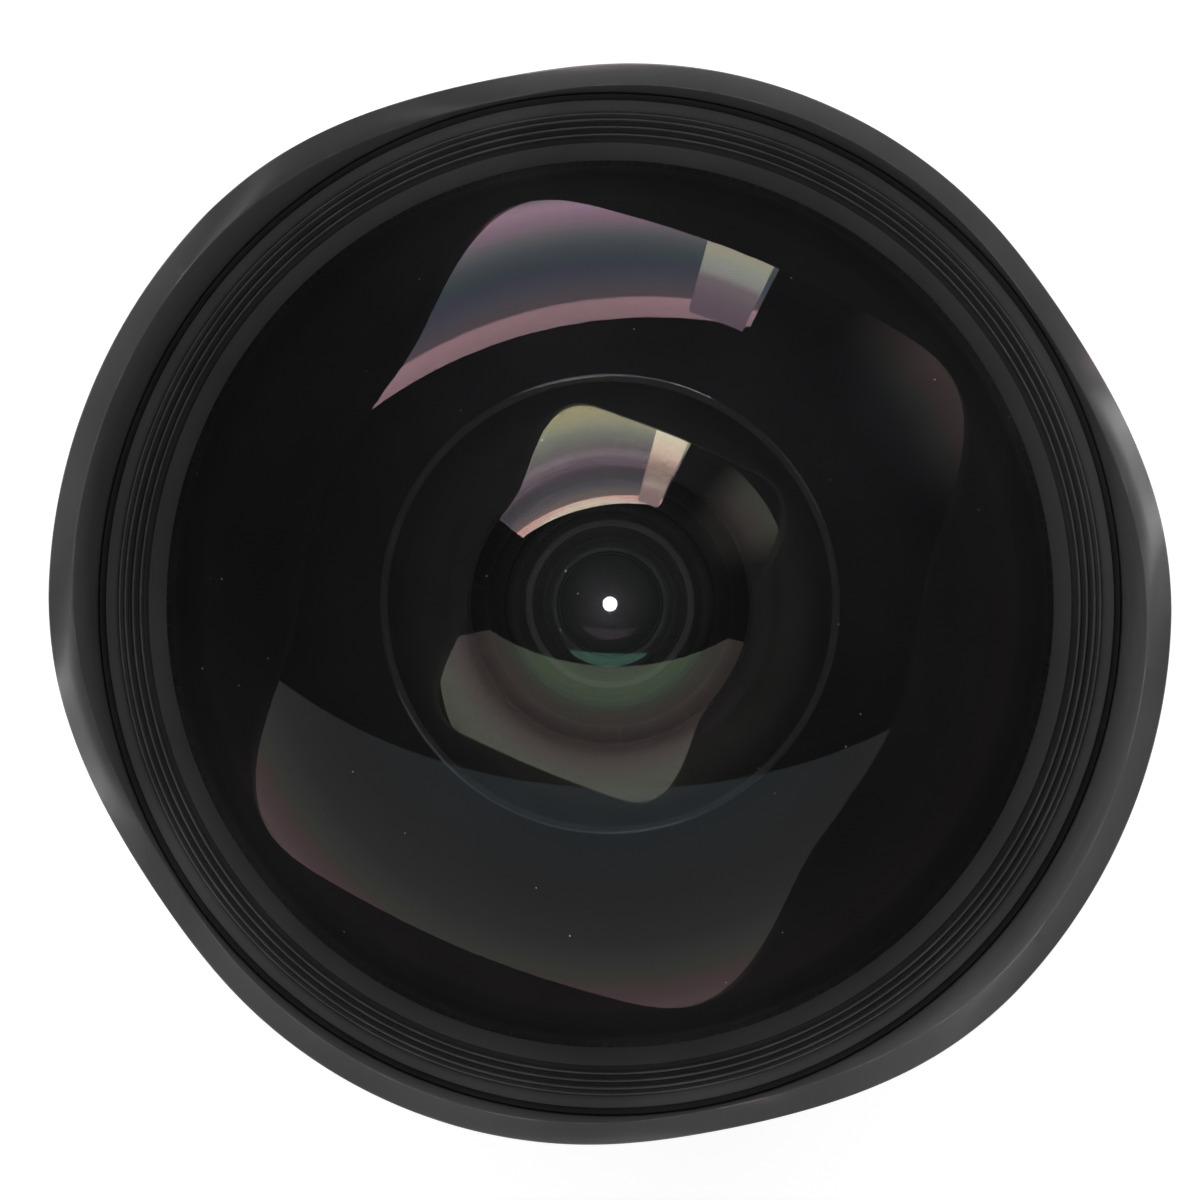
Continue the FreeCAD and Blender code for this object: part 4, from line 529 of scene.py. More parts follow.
def band(inner: float, outer: float, low: float, high: float) -> Outline:
    """The outline of a plain band."""
    return (inner, low), (outer, low), (outer, high), (inner, high)


def dress(
    piece: Object, finishes: Sequence[Finish], body: str, slot: str | None, *nodes: str
) -> None:
    """Finishes a piece and puts it on its body.

    Args:
        piece: The piece.
        finishes: Its finishes, in the order that its faces number them.
        body: The body that it moves with.
        slot: The record's material slot, or None for paint. Not used.
        *nodes: The nodes that it stands for.
    """
    paint(piece, *finishes)
    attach(piece, body)
    if nodes:
        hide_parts(*nodes)
    LOG.info("%s: %d faces on %s", piece.name, len(piece.data.polygons), body)


def paint(piece: Object, *finishes: Finish) -> None:
    """Fills a piece's material slots.

    Args:
        piece: The piece.
        *finishes: Its finishes, in the order that its faces number them.
    """
    if len(piece.data.materials):
        piece.data.materials.clear()
    for finish in finishes:
        piece.data.materials.append(finish.material())


def softened(outline: Outline, bevel: float, steps: int = 3) -> Profile:
    """Rounds an outline's corners.

    Args:
        outline: The outline.
        bevel: How far from each corner the rounding starts.
        steps: Points along each rounding, less one.

    Returns:
        The profile, with edge 1 in the middle of an outer rounding.
    """
    most = 0.45  # of a side's length, so that two roundings never meet
    points: Profile = []
    corners = [Vector(p) for p in outline]
    winding = sum(a.cross(b) for a, b in zip(corners, corners[1:] + corners[:1]))
    for i, corner in enumerate(corners):
        before, after = corners[i - 1], corners[(i + 1) % len(corners)]
        cut = min(bevel, (before - corner).length * most, (after - corner).length * most)
        start = corner + (before - corner).normalized() * cut
        end = corner + (after - corner).normalized() * cut
        convex = (corner - before).cross(after - corner) * winding > 0
        for k in range(steps + 1):
            t = k / steps
            p = start * (1 - t) ** 2 + corner * (2 * t * (1 - t)) + end * t ** 2
            points.append((p.x, p.y, 1.0 if convex and 0 < k < steps else 0.0))
    return points


def lathe(
    name: str, points: Profile, segments: int, closed: bool = True,
    finish_of: Callable[[float, float], int] | None = None,
) -> Object:
    """Turns an outline about the optical axis.

    Args:
        name: The object's name.
        points: The profile, in which a radius of 0 makes one point.
        segments: Steps round the axis.
        closed: Whether the last point joins the first.
        finish_of: Gives a face's material index from its middle radius and height.

    Returns:
        The object, smooth, with sharp creases kept and its "edge" attribute set.
    """
    bm = bmesh.new()
    layer = bm.verts.layers.float.new("edge")
    rings = []
    for r, z, edge in points:
        ring = []
        for i in range(segments if r > SMALLEST_RADIUS else 1):
            vertex = bm.verts.new(spot(r, 2 * pi * i / segments, z))
            vertex[layer] = edge
            ring.append(vertex)
        rings.append(ring)
    pairs = list(zip(rings, rings[1:])) + ([(rings[-1], rings[0])] if closed else [])
    for (a, b), (pa, pb) in zip(pairs, zip(points, list(points[1:]) + [points[0]])):
        for i in range(segments):
            j = (i + 1) % segments
            corners = [a[i % len(a)], a[j % len(a)], b[j % len(b)], b[i % len(b)]]
            corners = list(dict.fromkeys(corners))
            if len(corners) < 3:
                continue
            face = bm.faces.new(corners)
            if finish_of:
                face.material_index = finish_of((pa[0] + pb[0]) / 2, (pa[1] + pb[1]) / 2)
    return smooth_object(name, bm)


def smooth_object(name: str, bm: bmesh.types.BMesh, crease: float = 32.0) -> Object:
    """Closes a bmesh into a smooth-shaded object with outward faces.

    Args:
        name: The object's name.
        bm: The mesh, which is freed.
        crease: Edges that turn more than this many degrees stay sharp.

    Returns:
        The object.
    """
    bmesh.ops.remove_doubles(bm, verts=bm.verts, dist=WELD)
    bmesh.ops.recalc_face_normals(bm, faces=bm.faces)
    for face in bm.faces:
        face.smooth = True
    for edge in bm.edges:
        edge.smooth = len(edge.link_faces) == 2 and edge.calc_face_angle(0.0) < radians(crease)
    return mesh_object(name, to_mesh(name, bm))


def turned(
    name: str, outline: Outline, bevel: float, finish: Finish, body: str, slot: str, *nodes: str
) -> None:
    """Builds a round piece of one finish from its outline, and puts it on its body."""
    dress(lathe(name, softened(outline, bevel), ROUND_STEPS), (finish,), body, slot, *nodes)


@dataclass(frozen=True)
class Element:
    """A glass element. Each face has its height, its radius and, where it isn't a sphere, its conic.

    Heights are above the group's datum, and radii are signed towards the front.
    """

    name: str
    datum: float
    rim: float
    front: tuple[float, ...]
    rear: tuple[float, ...]
    body: str = "barrel"
    clear: float | None = None
    coatings: tuple[GlassFinish, GlassFinish] = (INNER_GLASS, INNER_GLASS)
    shoulder: Outline = ()
    piece: str = ""
    rings: int = 24
    segments: int = 160
    near: float = 0.05
    margin: float = 0.01
    below: float = 0.02

    def height(self, face: tuple[float, ...], r: float) -> float:
        """Height of a face at a radius.

        Args:
            face: Its vertex, radius and conic constant.
            r: The radius in millimetres.

        Returns:
            The height in millimetres.
        """
        vertex, radius, conic = (*face, 0.0)[:3]
        bend = r * r / radius
        return self.datum + vertex - bend / (1 + sqrt(1 - (1 + conic) * bend / radius))

    def build(self) -> None:
        """Builds the element with its coated faces and its ground black rim."""
        clear = self.clear or self.rim
        outwards = [self.rim * i / self.rings for i in range(self.rings + 1)]
        inwards = [clear * i / self.rings for i in range(self.rings, -1, -1)]
        points = [(r, self.height(self.front, r), 0.0) for r in outwards]
        if self.shoulder:
            points += [(r, z, 0.0) for r, z in self.shoulder]
        elif self.clear:
            points.append((self.rim, self.height(self.rear, clear), 0.0))
        points += [(r, self.height(self.rear, r), 0.0) for r in inwards]

        def finish_of(r: float, z: float) -> int:
            """Front face 0, rear face 1, rim and land 2."""
            under = self.height(self.front, min(r, self.rim)) - z
            return 2 if r > clear - self.margin and under > self.below else int(abs(under) >= self.near)

        piece = lathe(self.piece or f"{self.name}_glass", points, self.segments, False, finish_of)
        dress(piece, (*self.coatings, BLACK_EDGE), self.body, "coated_glass", self.name)


@dataclass
class Glass:
    """Every element: the bulging front one and those that can be seen through it."""

    front_datum: float = 92.0
    focus_datum: float = 60.2
    rear_datum: float = 53.0

    def build(self) -> None:
        """Builds the elements from front to rear."""
        front, focus, rear = self.front_datum, self.focus_datum, self.rear_datum
        green = (SECOND_GLASS, INNER_GLASS)
        elements = (
            Element(
                "element_1", 0.0, 40.0, (124.5, 50.0, -0.4), (121.1, 20.0, -1.4), clear=18.94,
                coatings=(OUTER_GLASS, BACK_GLASS), shoulder=((40.0, 101.3), (37.5, 101.3)),
                piece="front_glass", rings=64, segments=384,
            ),
            Element("element_2", front, 17.0, (8.0, 26.0), (5.6, 15.0), clear=12.0, coatings=green),
            Element("element_3", front, 14.0, (-2.8, -60.0), (-4.6, 24.0), clear=12.6),
            Element("elements_4_5", front, 12.5, (-5.6, 22.0), (-12.0, 90.0)),
            Element("element_6", focus, 12.0, (12.4, 28.0), (9.4, 60.0), "focus_group"),
            Element("elements_7_8", focus, 11.5, (7.8, 50.0), (1.4, 80.0), "focus_group"),
            Element("elements_9_10", rear, 13.3, (-3.4, 36.0), (-9.8, -80.0)),
            Element("elements_11_12", rear, 13.8, (-11.0, -45.0), (-17.2, 120.0)),
            Element("elements_13_14", rear, 14.6, (-18.4, 50.0), (-25.4, -90.0)),
            Element("element_15", rear, 15.6, (-27.4, -60.0), (-31.5, 150.0)),
            Element("element_16", rear, 16.6, (-36.0, -45.0), (-43.8, -60.0)),
        )
        for element in elements:
            element.build()


@dataclass
class GlassSurround:
    """Retaining ring, ledge and felt ring round the front glass."""

    seat: float = 106.55
    foot_r: float = 40.15
    lip_r: float = 39.7
    lip_z: float = 106.79
    lip_rise: float = 0.17
    outer_r: float = 43.75
    rise: float = 2.45
    cone_r: float = 41.2
    cone_rise: float = 1.35
    groove_r: float = 41.7
    ridges: int = 3
    ridge_rise: float = 0.33
    ridge_depth: float = 0.5
    ridge_width: float = 0.15
    ridge_flank: float = 0.15
    bright_from: float = 43.1
    near: float = 0.02
    ring_bevel: float = 0.05
    ring_segments: int = 384
    ledge: Outline = (
        (30.0, 96.0), (40.4, 96.0), (40.4, 98.0), (44.9, 98.0), (44.9, 108.7), (43.8, 108.7),
        (43.8, 106.55), (40.02, 106.55), (40.02, 101.3), (36.3, 101.3), (36.3, 98.0), (30.0, 98.0),
    )
    ledge_bevel: float = 0.08
    felt: Outline = band(44.95, 45.65, 104.5, 107.4)
    felt_bevel: float = 0.15

    def outline(self) -> list[Pair]:
        """The ring's outline, from the lip over the ridges to its outer corner.

        Returns:
            Corners in millimetres.
        """
        seat, top = self.seat, self.seat + self.rise
        points = [
            (self.lip_r, self.lip_z),
            (self.lip_r, self.lip_z + self.lip_rise),
            (self.cone_r, seat + self.cone_rise),
            (self.cone_r, seat + self.cone_rise / 2),
            (self.groove_r, seat + self.cone_rise / 2),
        ]
        last = self.outer_r - self.ridge_width
        pitch = (last - self.groove_r) / self.ridges
        for i in range(self.ridges):
            start = self.groove_r + pitch * i
            crest = top - self.ridge_rise * (self.ridges - i)
            end = start + self.ridge_flank + self.ridge_width
            points += [
                (start + self.ridge_flank, crest),
                (end, crest),
                (end + self.ridge_flank, crest - self.ridge_depth),
                (start + pitch, crest - self.ridge_depth),
            ]
        return points + [(last, top), (self.outer_r, top), (self.outer_r, seat), (self.foot_r, seat)]

    def build(self) -> None:
        """Builds the retaining ring with its light cone, the cell's ledge and the felt in the gap."""
        crests = [self.seat + self.rise - self.ridge_rise * i for i in range(self.ridges + 1)]

        def finish_of(r: float, z: float) -> int:
            """Tells a face's finish.

            Args:
                r: The face's middle radius in millimetres.
                z: Its middle height.

            Returns:
                1 on the cone next to the glass, 2 on the crests and the outermost step, 0 elsewhere.
            """
            # Painted light: the crests and the outermost step, which face the lamps, take the lighter
            # finish
            on_crest = min(abs(z - crest) for crest in crests) < self.near
            if r > self.bright_from or r > self.groove_r and on_crest:
                return 2
            return 1 if r < self.cone_r - self.near and z > self.lip_z + self.lip_rise else 0

        outline = softened(self.outline(), self.ring_bevel)
        ring = lathe("retaining_ring", outline, self.ring_segments, True, finish_of)
        dress(ring, (RING_EDGE, BRIGHT_CONE, LEDGE_PAINTED_LIT), "barrel", "cell_black", "front_retainer")
        where = "barrel", "cell_black"
        # Painted light: the whole cell takes the lighter finish, as its ledge faces the lamps
        turned("front_glass_cell", self.ledge, self.ledge_bevel, LEDGE_PAINTED_LIT, *where, "front_cell")
        turned("light_trap_felt", self.felt, self.felt_bevel, FELT, *where)


@dataclass
class Hood:
    """Fixed petal hood: a turned wall whose edge is cut through along X."""

    outer: float = 47.7
    inner: float = 45.7
    base: float = 96.0
    flange: float = 1.0
    floor: float = 98.0
    bore: float = 40.5
    tip: float = 126.0
    edge: Sequence[Pair] = (
        (0.0, 115.0), (0.18, 114.436), (0.38, 112.18), (0.56, 110.3),
        (0.68, 113.283), (0.795, 119.72), (0.885, 124.744), (0.955, 126.5),
    )
    bevel: float = 0.16
    corner_share: float = 0.3
    straight_from: float = 4.0
    segments: int = 720
    crease: float = 40.0
    rim_faces: range = range(6, 10)
    inside_faces: range = range(10, 15)

    def spline(self) -> Callable[[float], float]:
        """The smooth edge through the hood's named points.

        Returns:
            A function from the distance off the X axis to the edge's height, in millimetres.
        """
        half = [(share * self.outer, z) for share, z in self.edge]
        knots = [(-y, z) for y, z in reversed(half[1:])] + half
        gaps = [b[0] - a[0] for a, b in zip(knots, knots[1:])]
        slopes = [(b[1] - a[1]) / g for a, b, g in zip(knots, knots[1:], gaps)]
        count = len(knots)
        curves = [0.0] * count
        upper, lower = [0.0] * count, [0.0] * count
        for i in range(1, count - 1):
            pivot = 2 * (gaps[i - 1] + gaps[i]) - gaps[i - 1] * upper[i - 1]
            upper[i] = gaps[i] / pivot
            lower[i] = (6 * (slopes[i] - slopes[i - 1]) - gaps[i - 1] * lower[i - 1]) / pivot
        for i in range(count - 2, 0, -1):
            curves[i] = lower[i] - upper[i] * curves[i + 1]

        def height(y: float) -> float:
            """Height of the edge at a distance off the X axis.

            Args:
                y: The distance in millimetres.

            Returns:
                The height in millimetres.
            """
            y = min(abs(y), half[-1][0])
            i = max(k for k in range(count - 1) if knots[k][0] <= y)
            a, b, g = knots[i], knots[i + 1], gaps[i]
            u, v = b[0] - y, y - a[0]
            bend = (curves[i] * u ** 3 + curves[i + 1] * v ** 3) / (6 * g)
            return bend + (a[1] / g - curves[i] * g / 6) * u + (b[1] / g - curves[i + 1] * g / 6) * v

        return height

    def column(self, top: Callable[[float], float]) -> Profile:
        """The wall's section, from its base flange over the rim and back.

        Args:
            top: Height of the rim at a radius.

        Returns:
            The profile, with edge 1 on the rim's two rounded corners.
        """
        outer, inner, b = self.outer, self.inner, self.bevel
        corner, straight = self.corner_share * b, self.straight_from * b
        middle = (outer + inner) / 2
        outside, inside = top(outer), top(inner)
        return [
            (self.bore, self.base, 0), (outer, self.base, 0), (outer, self.base + self.flange, 0),
            (outer, (self.base + outside) / 2, 0), (outer, outside - straight, 0),
            (outer, outside - b, 0), (outer - corner, outside - corner, 1),
            (outer - b, top(outer - b), 0), (middle, top(middle), 0),
            (inner + b, top(inner + b), 0), (inner + corner, inside - corner, 1),
            (inner, inside - b, 0), (inner, inside - straight, 0),
            (inner, (self.floor + inside) / 2, 0), (inner, self.floor, 0), (self.bore, self.floor, 0),
        ]

    def build(self) -> None:
        """Builds the wall, column by column."""
        height = self.spline()
        bm = bmesh.new()
        layer = bm.verts.layers.float.new("edge")
        columns = []
        for i in range(self.segments):
            a = 2 * pi * i / self.segments
            away = abs(sin(a))
            made = []
            for r, z, edge in self.column(lambda radius: min(self.tip, height(radius * away))):
                vertex = bm.verts.new(spot(r, a, z))
                vertex[layer] = edge
                made.append(vertex)
            columns.append(made)
        for column, after in zip(columns, columns[1:] + columns[:1]):
            for k in range(len(column)):
                n = (k + 1) % len(column)
                face = bm.faces.new((column[k], after[k], after[n], column[n]))
                # The rim faces take the lighter finish, painted light where the rim faces the lamps
                face.material_index = 1 if k in self.inside_faces else 2 if k in self.rim_faces else 0
        piece = smooth_object("petal_hood", bm, self.crease)
        dress(piece, (HOOD_OUTSIDE, HOOD_INSIDE, HOOD_RIM_LIT_AND_RUBBED), "barrel", "hood_black", "hood")


@dataclass
class Shells:
    """Outer shells behind the hood that are round all the way."""

    front: Outline = (
        (40.9, 84.3), (42.7, 84.3), (42.7, 86.5), (47.7, 95.0), (47.7, 96.0), (45.7, 96.0),
        (45.7, 95.9), (40.9, 95.9), (40.9, 94.0),
    )
    core: Outline = (
        (36.3, 48.2), (42.7, 48.2), (42.7, 50.5), (42.0, 50.5), (42.0, 81.6), (42.7, 81.6),
        (42.7, 83.9), (40.55, 83.9), (40.55, 49.6), (36.3, 49.6),
    )
    front_bevel: float = 0.25
    core_bevel: float = 0.2

    def build(self) -> None:
        """Builds the flared front barrel and the focus ring's core."""
        for name, outline, bevel, body, node in (
            ("front_barrel_shell", self.front, self.front_bevel, "barrel", "front_barrel"),
            ("focus_ring_core", self.core, self.core_bevel, "focus_ring", "focus_core"),
        ):
            turned(name, outline, bevel, BARREL, body, "black_anodised", node)


@dataclass
class RubberGrip:
    """Ribbed rubber sleeve of the focus ring, with its ribs placed by Geometry Nodes."""

    low: float = 50.5
    high: float = 81.6
    inner: float = 42.0
    root: float = 42.7
    crest: float = 43.3
    land: float = 1.2
    bevel: float = 0.2
    ribs: int = 96
    rib_width: float = 1.8
    rib_root_gap: float = 0.1
    rib_fillet: float = 0.28
    rib_fillet_steps: int = 3

    def rib_tree(self) -> bpy.types.GeometryNodeTree:
        """Builds the tree that sets rounded ribs round the ring.

        Returns:
            The node group, with its sizes as inputs.
        """
        group = bpy.data.node_groups.new("ribs_round_a_ring", "GeometryNodeTree")
        group.interface.new_socket("Geometry", in_out="OUTPUT", socket_type="NodeSocketGeometry")
        kinds = {"Count": "Int", "Finish": "Material"}
        for name in ("Count", "Radius", "Width", "Depth", "Low", "High", "Fillet", "Finish"):
            kind = f"NodeSocket{kinds.get(name, 'Float')}"
            group.interface.new_socket(name, in_out="INPUT", socket_type=kind)
        tree = Tree(group)
        given = tree.node("NodeGroupInput").outputs
        sides = {"Width": given["Depth"], "Height": given["Width"]}
        section = tree.node("GeometryNodeCurvePrimitiveQuadrilateral", sides)
        rounding = {"Curve": section, "Count": self.rib_fillet_steps, "Radius": given["Fillet"]}
        fillet = tree.node("GeometryNodeFilletCurve", rounding, mode="POLY")
        low, high = [tree.node("ShaderNodeCombineXYZ", {2: given[end]}) for end in ("Low", "High")]
        path = tree.node("GeometryNodeCurvePrimitiveLine", {"Start": low, "End": high})
        swept = {"Curve": path, "Profile Curve": fillet, "Fill Caps": True}
        sweep = tree.node("GeometryNodeCurveToMesh", swept)
        ring = {"Vertices": given["Count"], "Radius": given["Radius"]}
        circle = tree.node("GeometryNodeMeshCircle", ring)
        share = tree.math("DIVIDE", tree.node("GeometryNodeInputIndex").outputs[0], given["Count"])
        turn = tree.node("ShaderNodeCombineXYZ", {2: tree.math("MULTIPLY", share, 2 * pi)})
        placed = {"Points": circle, "Instance": sweep, "Rotation": turn}
        copies = tree.node("GeometryNodeInstanceOnPoints", placed)
        real = tree.node("GeometryNodeRealizeInstances", {0: copies})
        painted = {"Geometry": real, "Material": given["Finish"]}
        tree.node("NodeGroupOutput", {0: tree.node("GeometryNodeSetMaterial", painted)})
        return group

    def ribs_mesh(self) -> Object:
        """Evaluates the ribs into a plain mesh.

        Returns:
            The ribs as one object.
        """
        seed = mesh_object("grip_ribs", bpy.data.meshes.new("grip_ribs_seed"))
        modifier = seed.modifiers.new("ribs", "NODES")
        modifier.node_group = self.rib_tree()
        depth = self.crest - self.inner - self.rib_root_gap
        lengths = {
            "Radius": self.crest - depth / 2, "Width": self.rib_width, "Depth": depth,
            "Low": self.low + self.land, "High": self.high - self.land, "Fillet": self.rib_fillet,
        }
        values = {"Count": self.ribs, "Finish": RUBBER.material()}
        values |= {name: length * MM for name, length in lengths.items()}
        for item in modifier.node_group.interface.items_tree:
            if item.in_out == "INPUT":
                modifier[item.identifier] = values[item.name]
        graph = bpy.context.evaluated_depsgraph_get()
        mesh = bpy.data.meshes.new_from_object(seed.evaluated_get(graph))
        seed.modifiers.clear()
        seed.data = mesh
        for polygon in mesh.polygons:
            polygon.use_smooth = False
        return seed

    def build(self) -> None:
        """Builds the sleeve and its ribs."""
        foot, top = self.low + self.land, self.high - self.land
        sleeve = (
            (self.inner, self.low), (self.crest, self.low), (self.crest, foot), (self.root, foot),
            (self.root, top), (self.crest, top), (self.crest, self.high), (self.inner, self.high),
        )
        turned("rubber_sleeve", sleeve, self.bevel, RUBBER, "focus_ring", "rubber", "focus_grip")
        dress(self.ribs_mesh(), (RUBBER,), "focus_ring", "rubber")


def lettering(text: str, size: float) -> Mesh:
    """Makes flat letters, centred on the origin in the XY plane.

    Args:
        text: What they say.
        size: Height of the font in millimetres.

    Returns:
        The letters as a mesh.
    """
    curve = bpy.data.curves.new("letters", "FONT")
    curve.body = text
    curve.size = size * MM
    curve.align_x = "CENTER"
    curve.align_y = "CENTER"
    curve.resolution_u = LETTER_STEPS
    holder = bpy.data.objects.new("letters", curve)
    bpy.context.scene.collection.objects.link(holder)
    graph = bpy.context.evaluated_depsgraph_get()
    mesh = bpy.data.meshes.new_from_object(holder.evaluated_get(graph))
    bpy.data.objects.remove(holder)
    return mesh


def wrapped(mesh: Mesh, surface_r: float, angle: float, height: float) -> Mesh:
    """Bends flat marks round a drum, to be read from outside.

    Args:
        mesh: Marks in the XY plane.
        surface_r: The drum's radius in millimetres.
        angle: Where their middle goes, in degrees.
        height: Their middle's height, in millimetres.

    Returns:
        The same mesh, bent.
    """
    radius = (surface_r + PAINT) * MM
    for vertex in mesh.vertices:
        a = radians(angle) + vertex.co.x / radius
        vertex.co = (radius * cos(a), radius * sin(a), height * MM + vertex.co.y)
    return mesh


def marks(name: str, meshes: Iterable[Mesh], finish: Finish, body: str) -> None:
    """Joins painted marks into one piece.

    Args:
        name: The piece's name.
        meshes: The marks, which are used up.
        finish: Their paint.
        body: The body that they move with.
    """
    bm = bmesh.new()
    for mesh in meshes:
        bm.from_mesh(mesh)
        bpy.data.meshes.remove(mesh)
    dress(mesh_object(name, to_mesh(name, bm)), (finish,), body, None)


@dataclass
class DistanceScale:
    """Numbers on the scale drum behind the window, and the index line beside the window."""

    drum_r: float = 39.2
    barrel_r: float = 41.6
    index: float = 270.0
    turn: float = 60.0
    font: float = 2.7
    metres: tuple[tuple[str, float], ...] = (
        ("∞", 0.0), ("2", 0.13), ("1", 0.26), ("0.6", 0.43), ("0.4", 0.65), ("0.3", 0.88), ("m", 0.99),
    )
    feet: tuple[tuple[str, float], ...] = (
        ("∞", 0.0), ("7", 0.12), ("3", 0.27), ("2", 0.43), ("1.3", 0.65), ("1", 0.86), ("ft", 0.98),
    )
    metres_z: float = 34.2
    feet_z: float = 39.4
    line_z: float = 46.0
    line: Pair = (0.35, 2.4)
    line_steps: int = 4

    def build(self) -> None:
        """Builds both rows of numbers on the drum and the index on the barrel."""
        for name, row, z, finish in (
            ("metre_numbers", self.metres, self.metres_z, WHITE_PAINT),
            ("feet_numbers", self.feet, self.feet_z, ORANGE_PAINT),
        ):
            numbers = [
                wrapped(lettering(text, self.font), self.drum_r, self.index - share * self.turn, z)
                for text, share in row
            ]
            marks(name, numbers, finish, "cam_drive")
        line = wrapped(self.bar(), self.barrel_r, self.index, self.line_z)
        marks("focus_index_line", [line], WHITE_PAINT, "barrel")

    def bar(self) -> Mesh:
        """The flat upright index line, centred on the origin.

        Returns:
            The line as a mesh, in steps so that it can bend.
        """
        bm = bmesh.new()
        width, height = self.line
        steps = self.line_steps
        low, high = [
            [bm.verts.new(((i / steps - 0.5) * width * MM, y * MM, 0)) for i in range(steps + 1)]
            for y in (-height / 2, height / 2)
        ]
        for i in range(steps):
            bm.faces.new((low[i], low[i + 1], high[i + 1], high[i]))
        return to_mesh("bar", bm)


@dataclass
class WindowPane:
    """Curved clear pane over the distance scale, with blackened edges."""

    section: Outline = band(40.4, 41.3, 31.05, 42.95)
    middle: float = 270.0
    half_span: float = 16.93
    bevel: float = 0.12
    steps: int = 48

    def build(self) -> None:
        """Sweeps the pane's section round the axis."""
        section = softened(self.section, self.bevel)
        bm = bmesh.new()
        rows = []
        for i in range(self.steps + 1):
            a = radians(self.middle + self.half_span * (2 * i / self.steps - 1))
            rows.append([bm.verts.new(spot(r, a, z)) for r, z, _ in section])
        for row, after in zip(rows, rows[1:]):
            for k, (r, _, _) in enumerate(section):
                n = (k + 1) % len(section)
                face = bm.faces.new((row[k], after[k], after[n], row[n]))
                face.material_index = 0 if abs(r - section[n][0]) < SMALLEST_RADIUS else 1
        for end in (rows[0], rows[-1]):
            bm.faces.new(end).material_index = 1
        piece = smooth_object("distance_pane", bm)
        dress(piece, (CLEAR_PANE, BLACK_EDGE), "barrel", "window_clear", "distance_window")


@dataclass
class MountIndex:
    """White dot at the mount end, which shows how the lens goes on."""

    shell_r: float = 33.4
    angle: float = 300.0
    height: float = 2.95
    size: float = 0.75
    sides: int = 32

    def build(self) -> None:
        """Paints the dot on the rear barrel."""
        bm = bmesh.new()
        bmesh.ops.create_circle(bm, cap_ends=True, segments=self.sides, radius=self.size * MM)
        dot = wrapped(to_mesh("dot", bm), self.shell_r, self.angle, self.height)
        marks("mount_index_dot", [dot], WHITE_PAINT, "barrel")


@dataclass
class SwitchMarks:
    """Function marks beside the focus mode switch."""

    plate_x: float = -41.2
    middle: float = 36.0
    rise: float = 6.9
    font: float = 2.1

    def build(self) -> None:
        """Builds the two marks, one over and one under the slide."""
        upright = Matrix(((0, 0, -1), (-1, 0, 0), (0, 1, 0)))
        meshes = []
        for text, rise in (("AF", self.rise), ("MF", -self.rise)):
            mesh = lettering(text, self.font)
            where = Vector(((self.plate_x - PAINT) * MM, 0, (self.middle + rise) * MM))
            for vertex in mesh.vertices:
                vertex.co = upright @ vertex.co + where
            meshes.append(mesh)
        marks("switch_marks", meshes, WHITE_PAINT, "barrel")


class FrameFinishes:
    """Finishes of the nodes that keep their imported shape."""

    finishes: tuple[tuple[Finish, tuple[str, ...]], ...] = (
        (CHROME, ("mount_ring",)),
        (SEAL, ("mount_gasket",)),
        (PLASTIC, ("rear_skirt", "contact_block", "af_mf_switch")),
        (GOLD, ("contact_pads",)),
        (BOARD, ("circuit_board",)),
        (FLEX, ("flex_cable",)),
        (BARREL, ("rear_barrel", "control_barrel")),
        (HOOD_OUTSIDE, ("switch_plate",)),
        (CERAMIC, ("motor_stator",)),
        (BRASS, ("cam_followers",)),
        (STEEL, (
            "mount_screws", "motor_spring_washer", "motor_rotor", "drive_roller", "aperture_lever",
            "aperture_spring",
        )),
        (ALLOY, (
            "chassis", "manual_drive_ring", "cam_barrel", "bearing_sleeve", "focus_carrier",
            "aperture_ring",
        )),
        (FLAT_BLACK, (
            "scale_ring", "diaphragm", "aperture_blade", "rear_cell", "inner_cell", "front_baffle",
        )),
    )

    def build(self, nodes: dict[str, Object]) -> None:
        """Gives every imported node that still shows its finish.

        Args:
            nodes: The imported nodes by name.
        """
        for name, node in nodes.items():
            if node.hide_render:
                continue
            finish = next(finish for finish, starts in self.finishes if name.startswith(starts))
            paint(node, finish)
            LOG.info("%s: %s", name, finish.name)


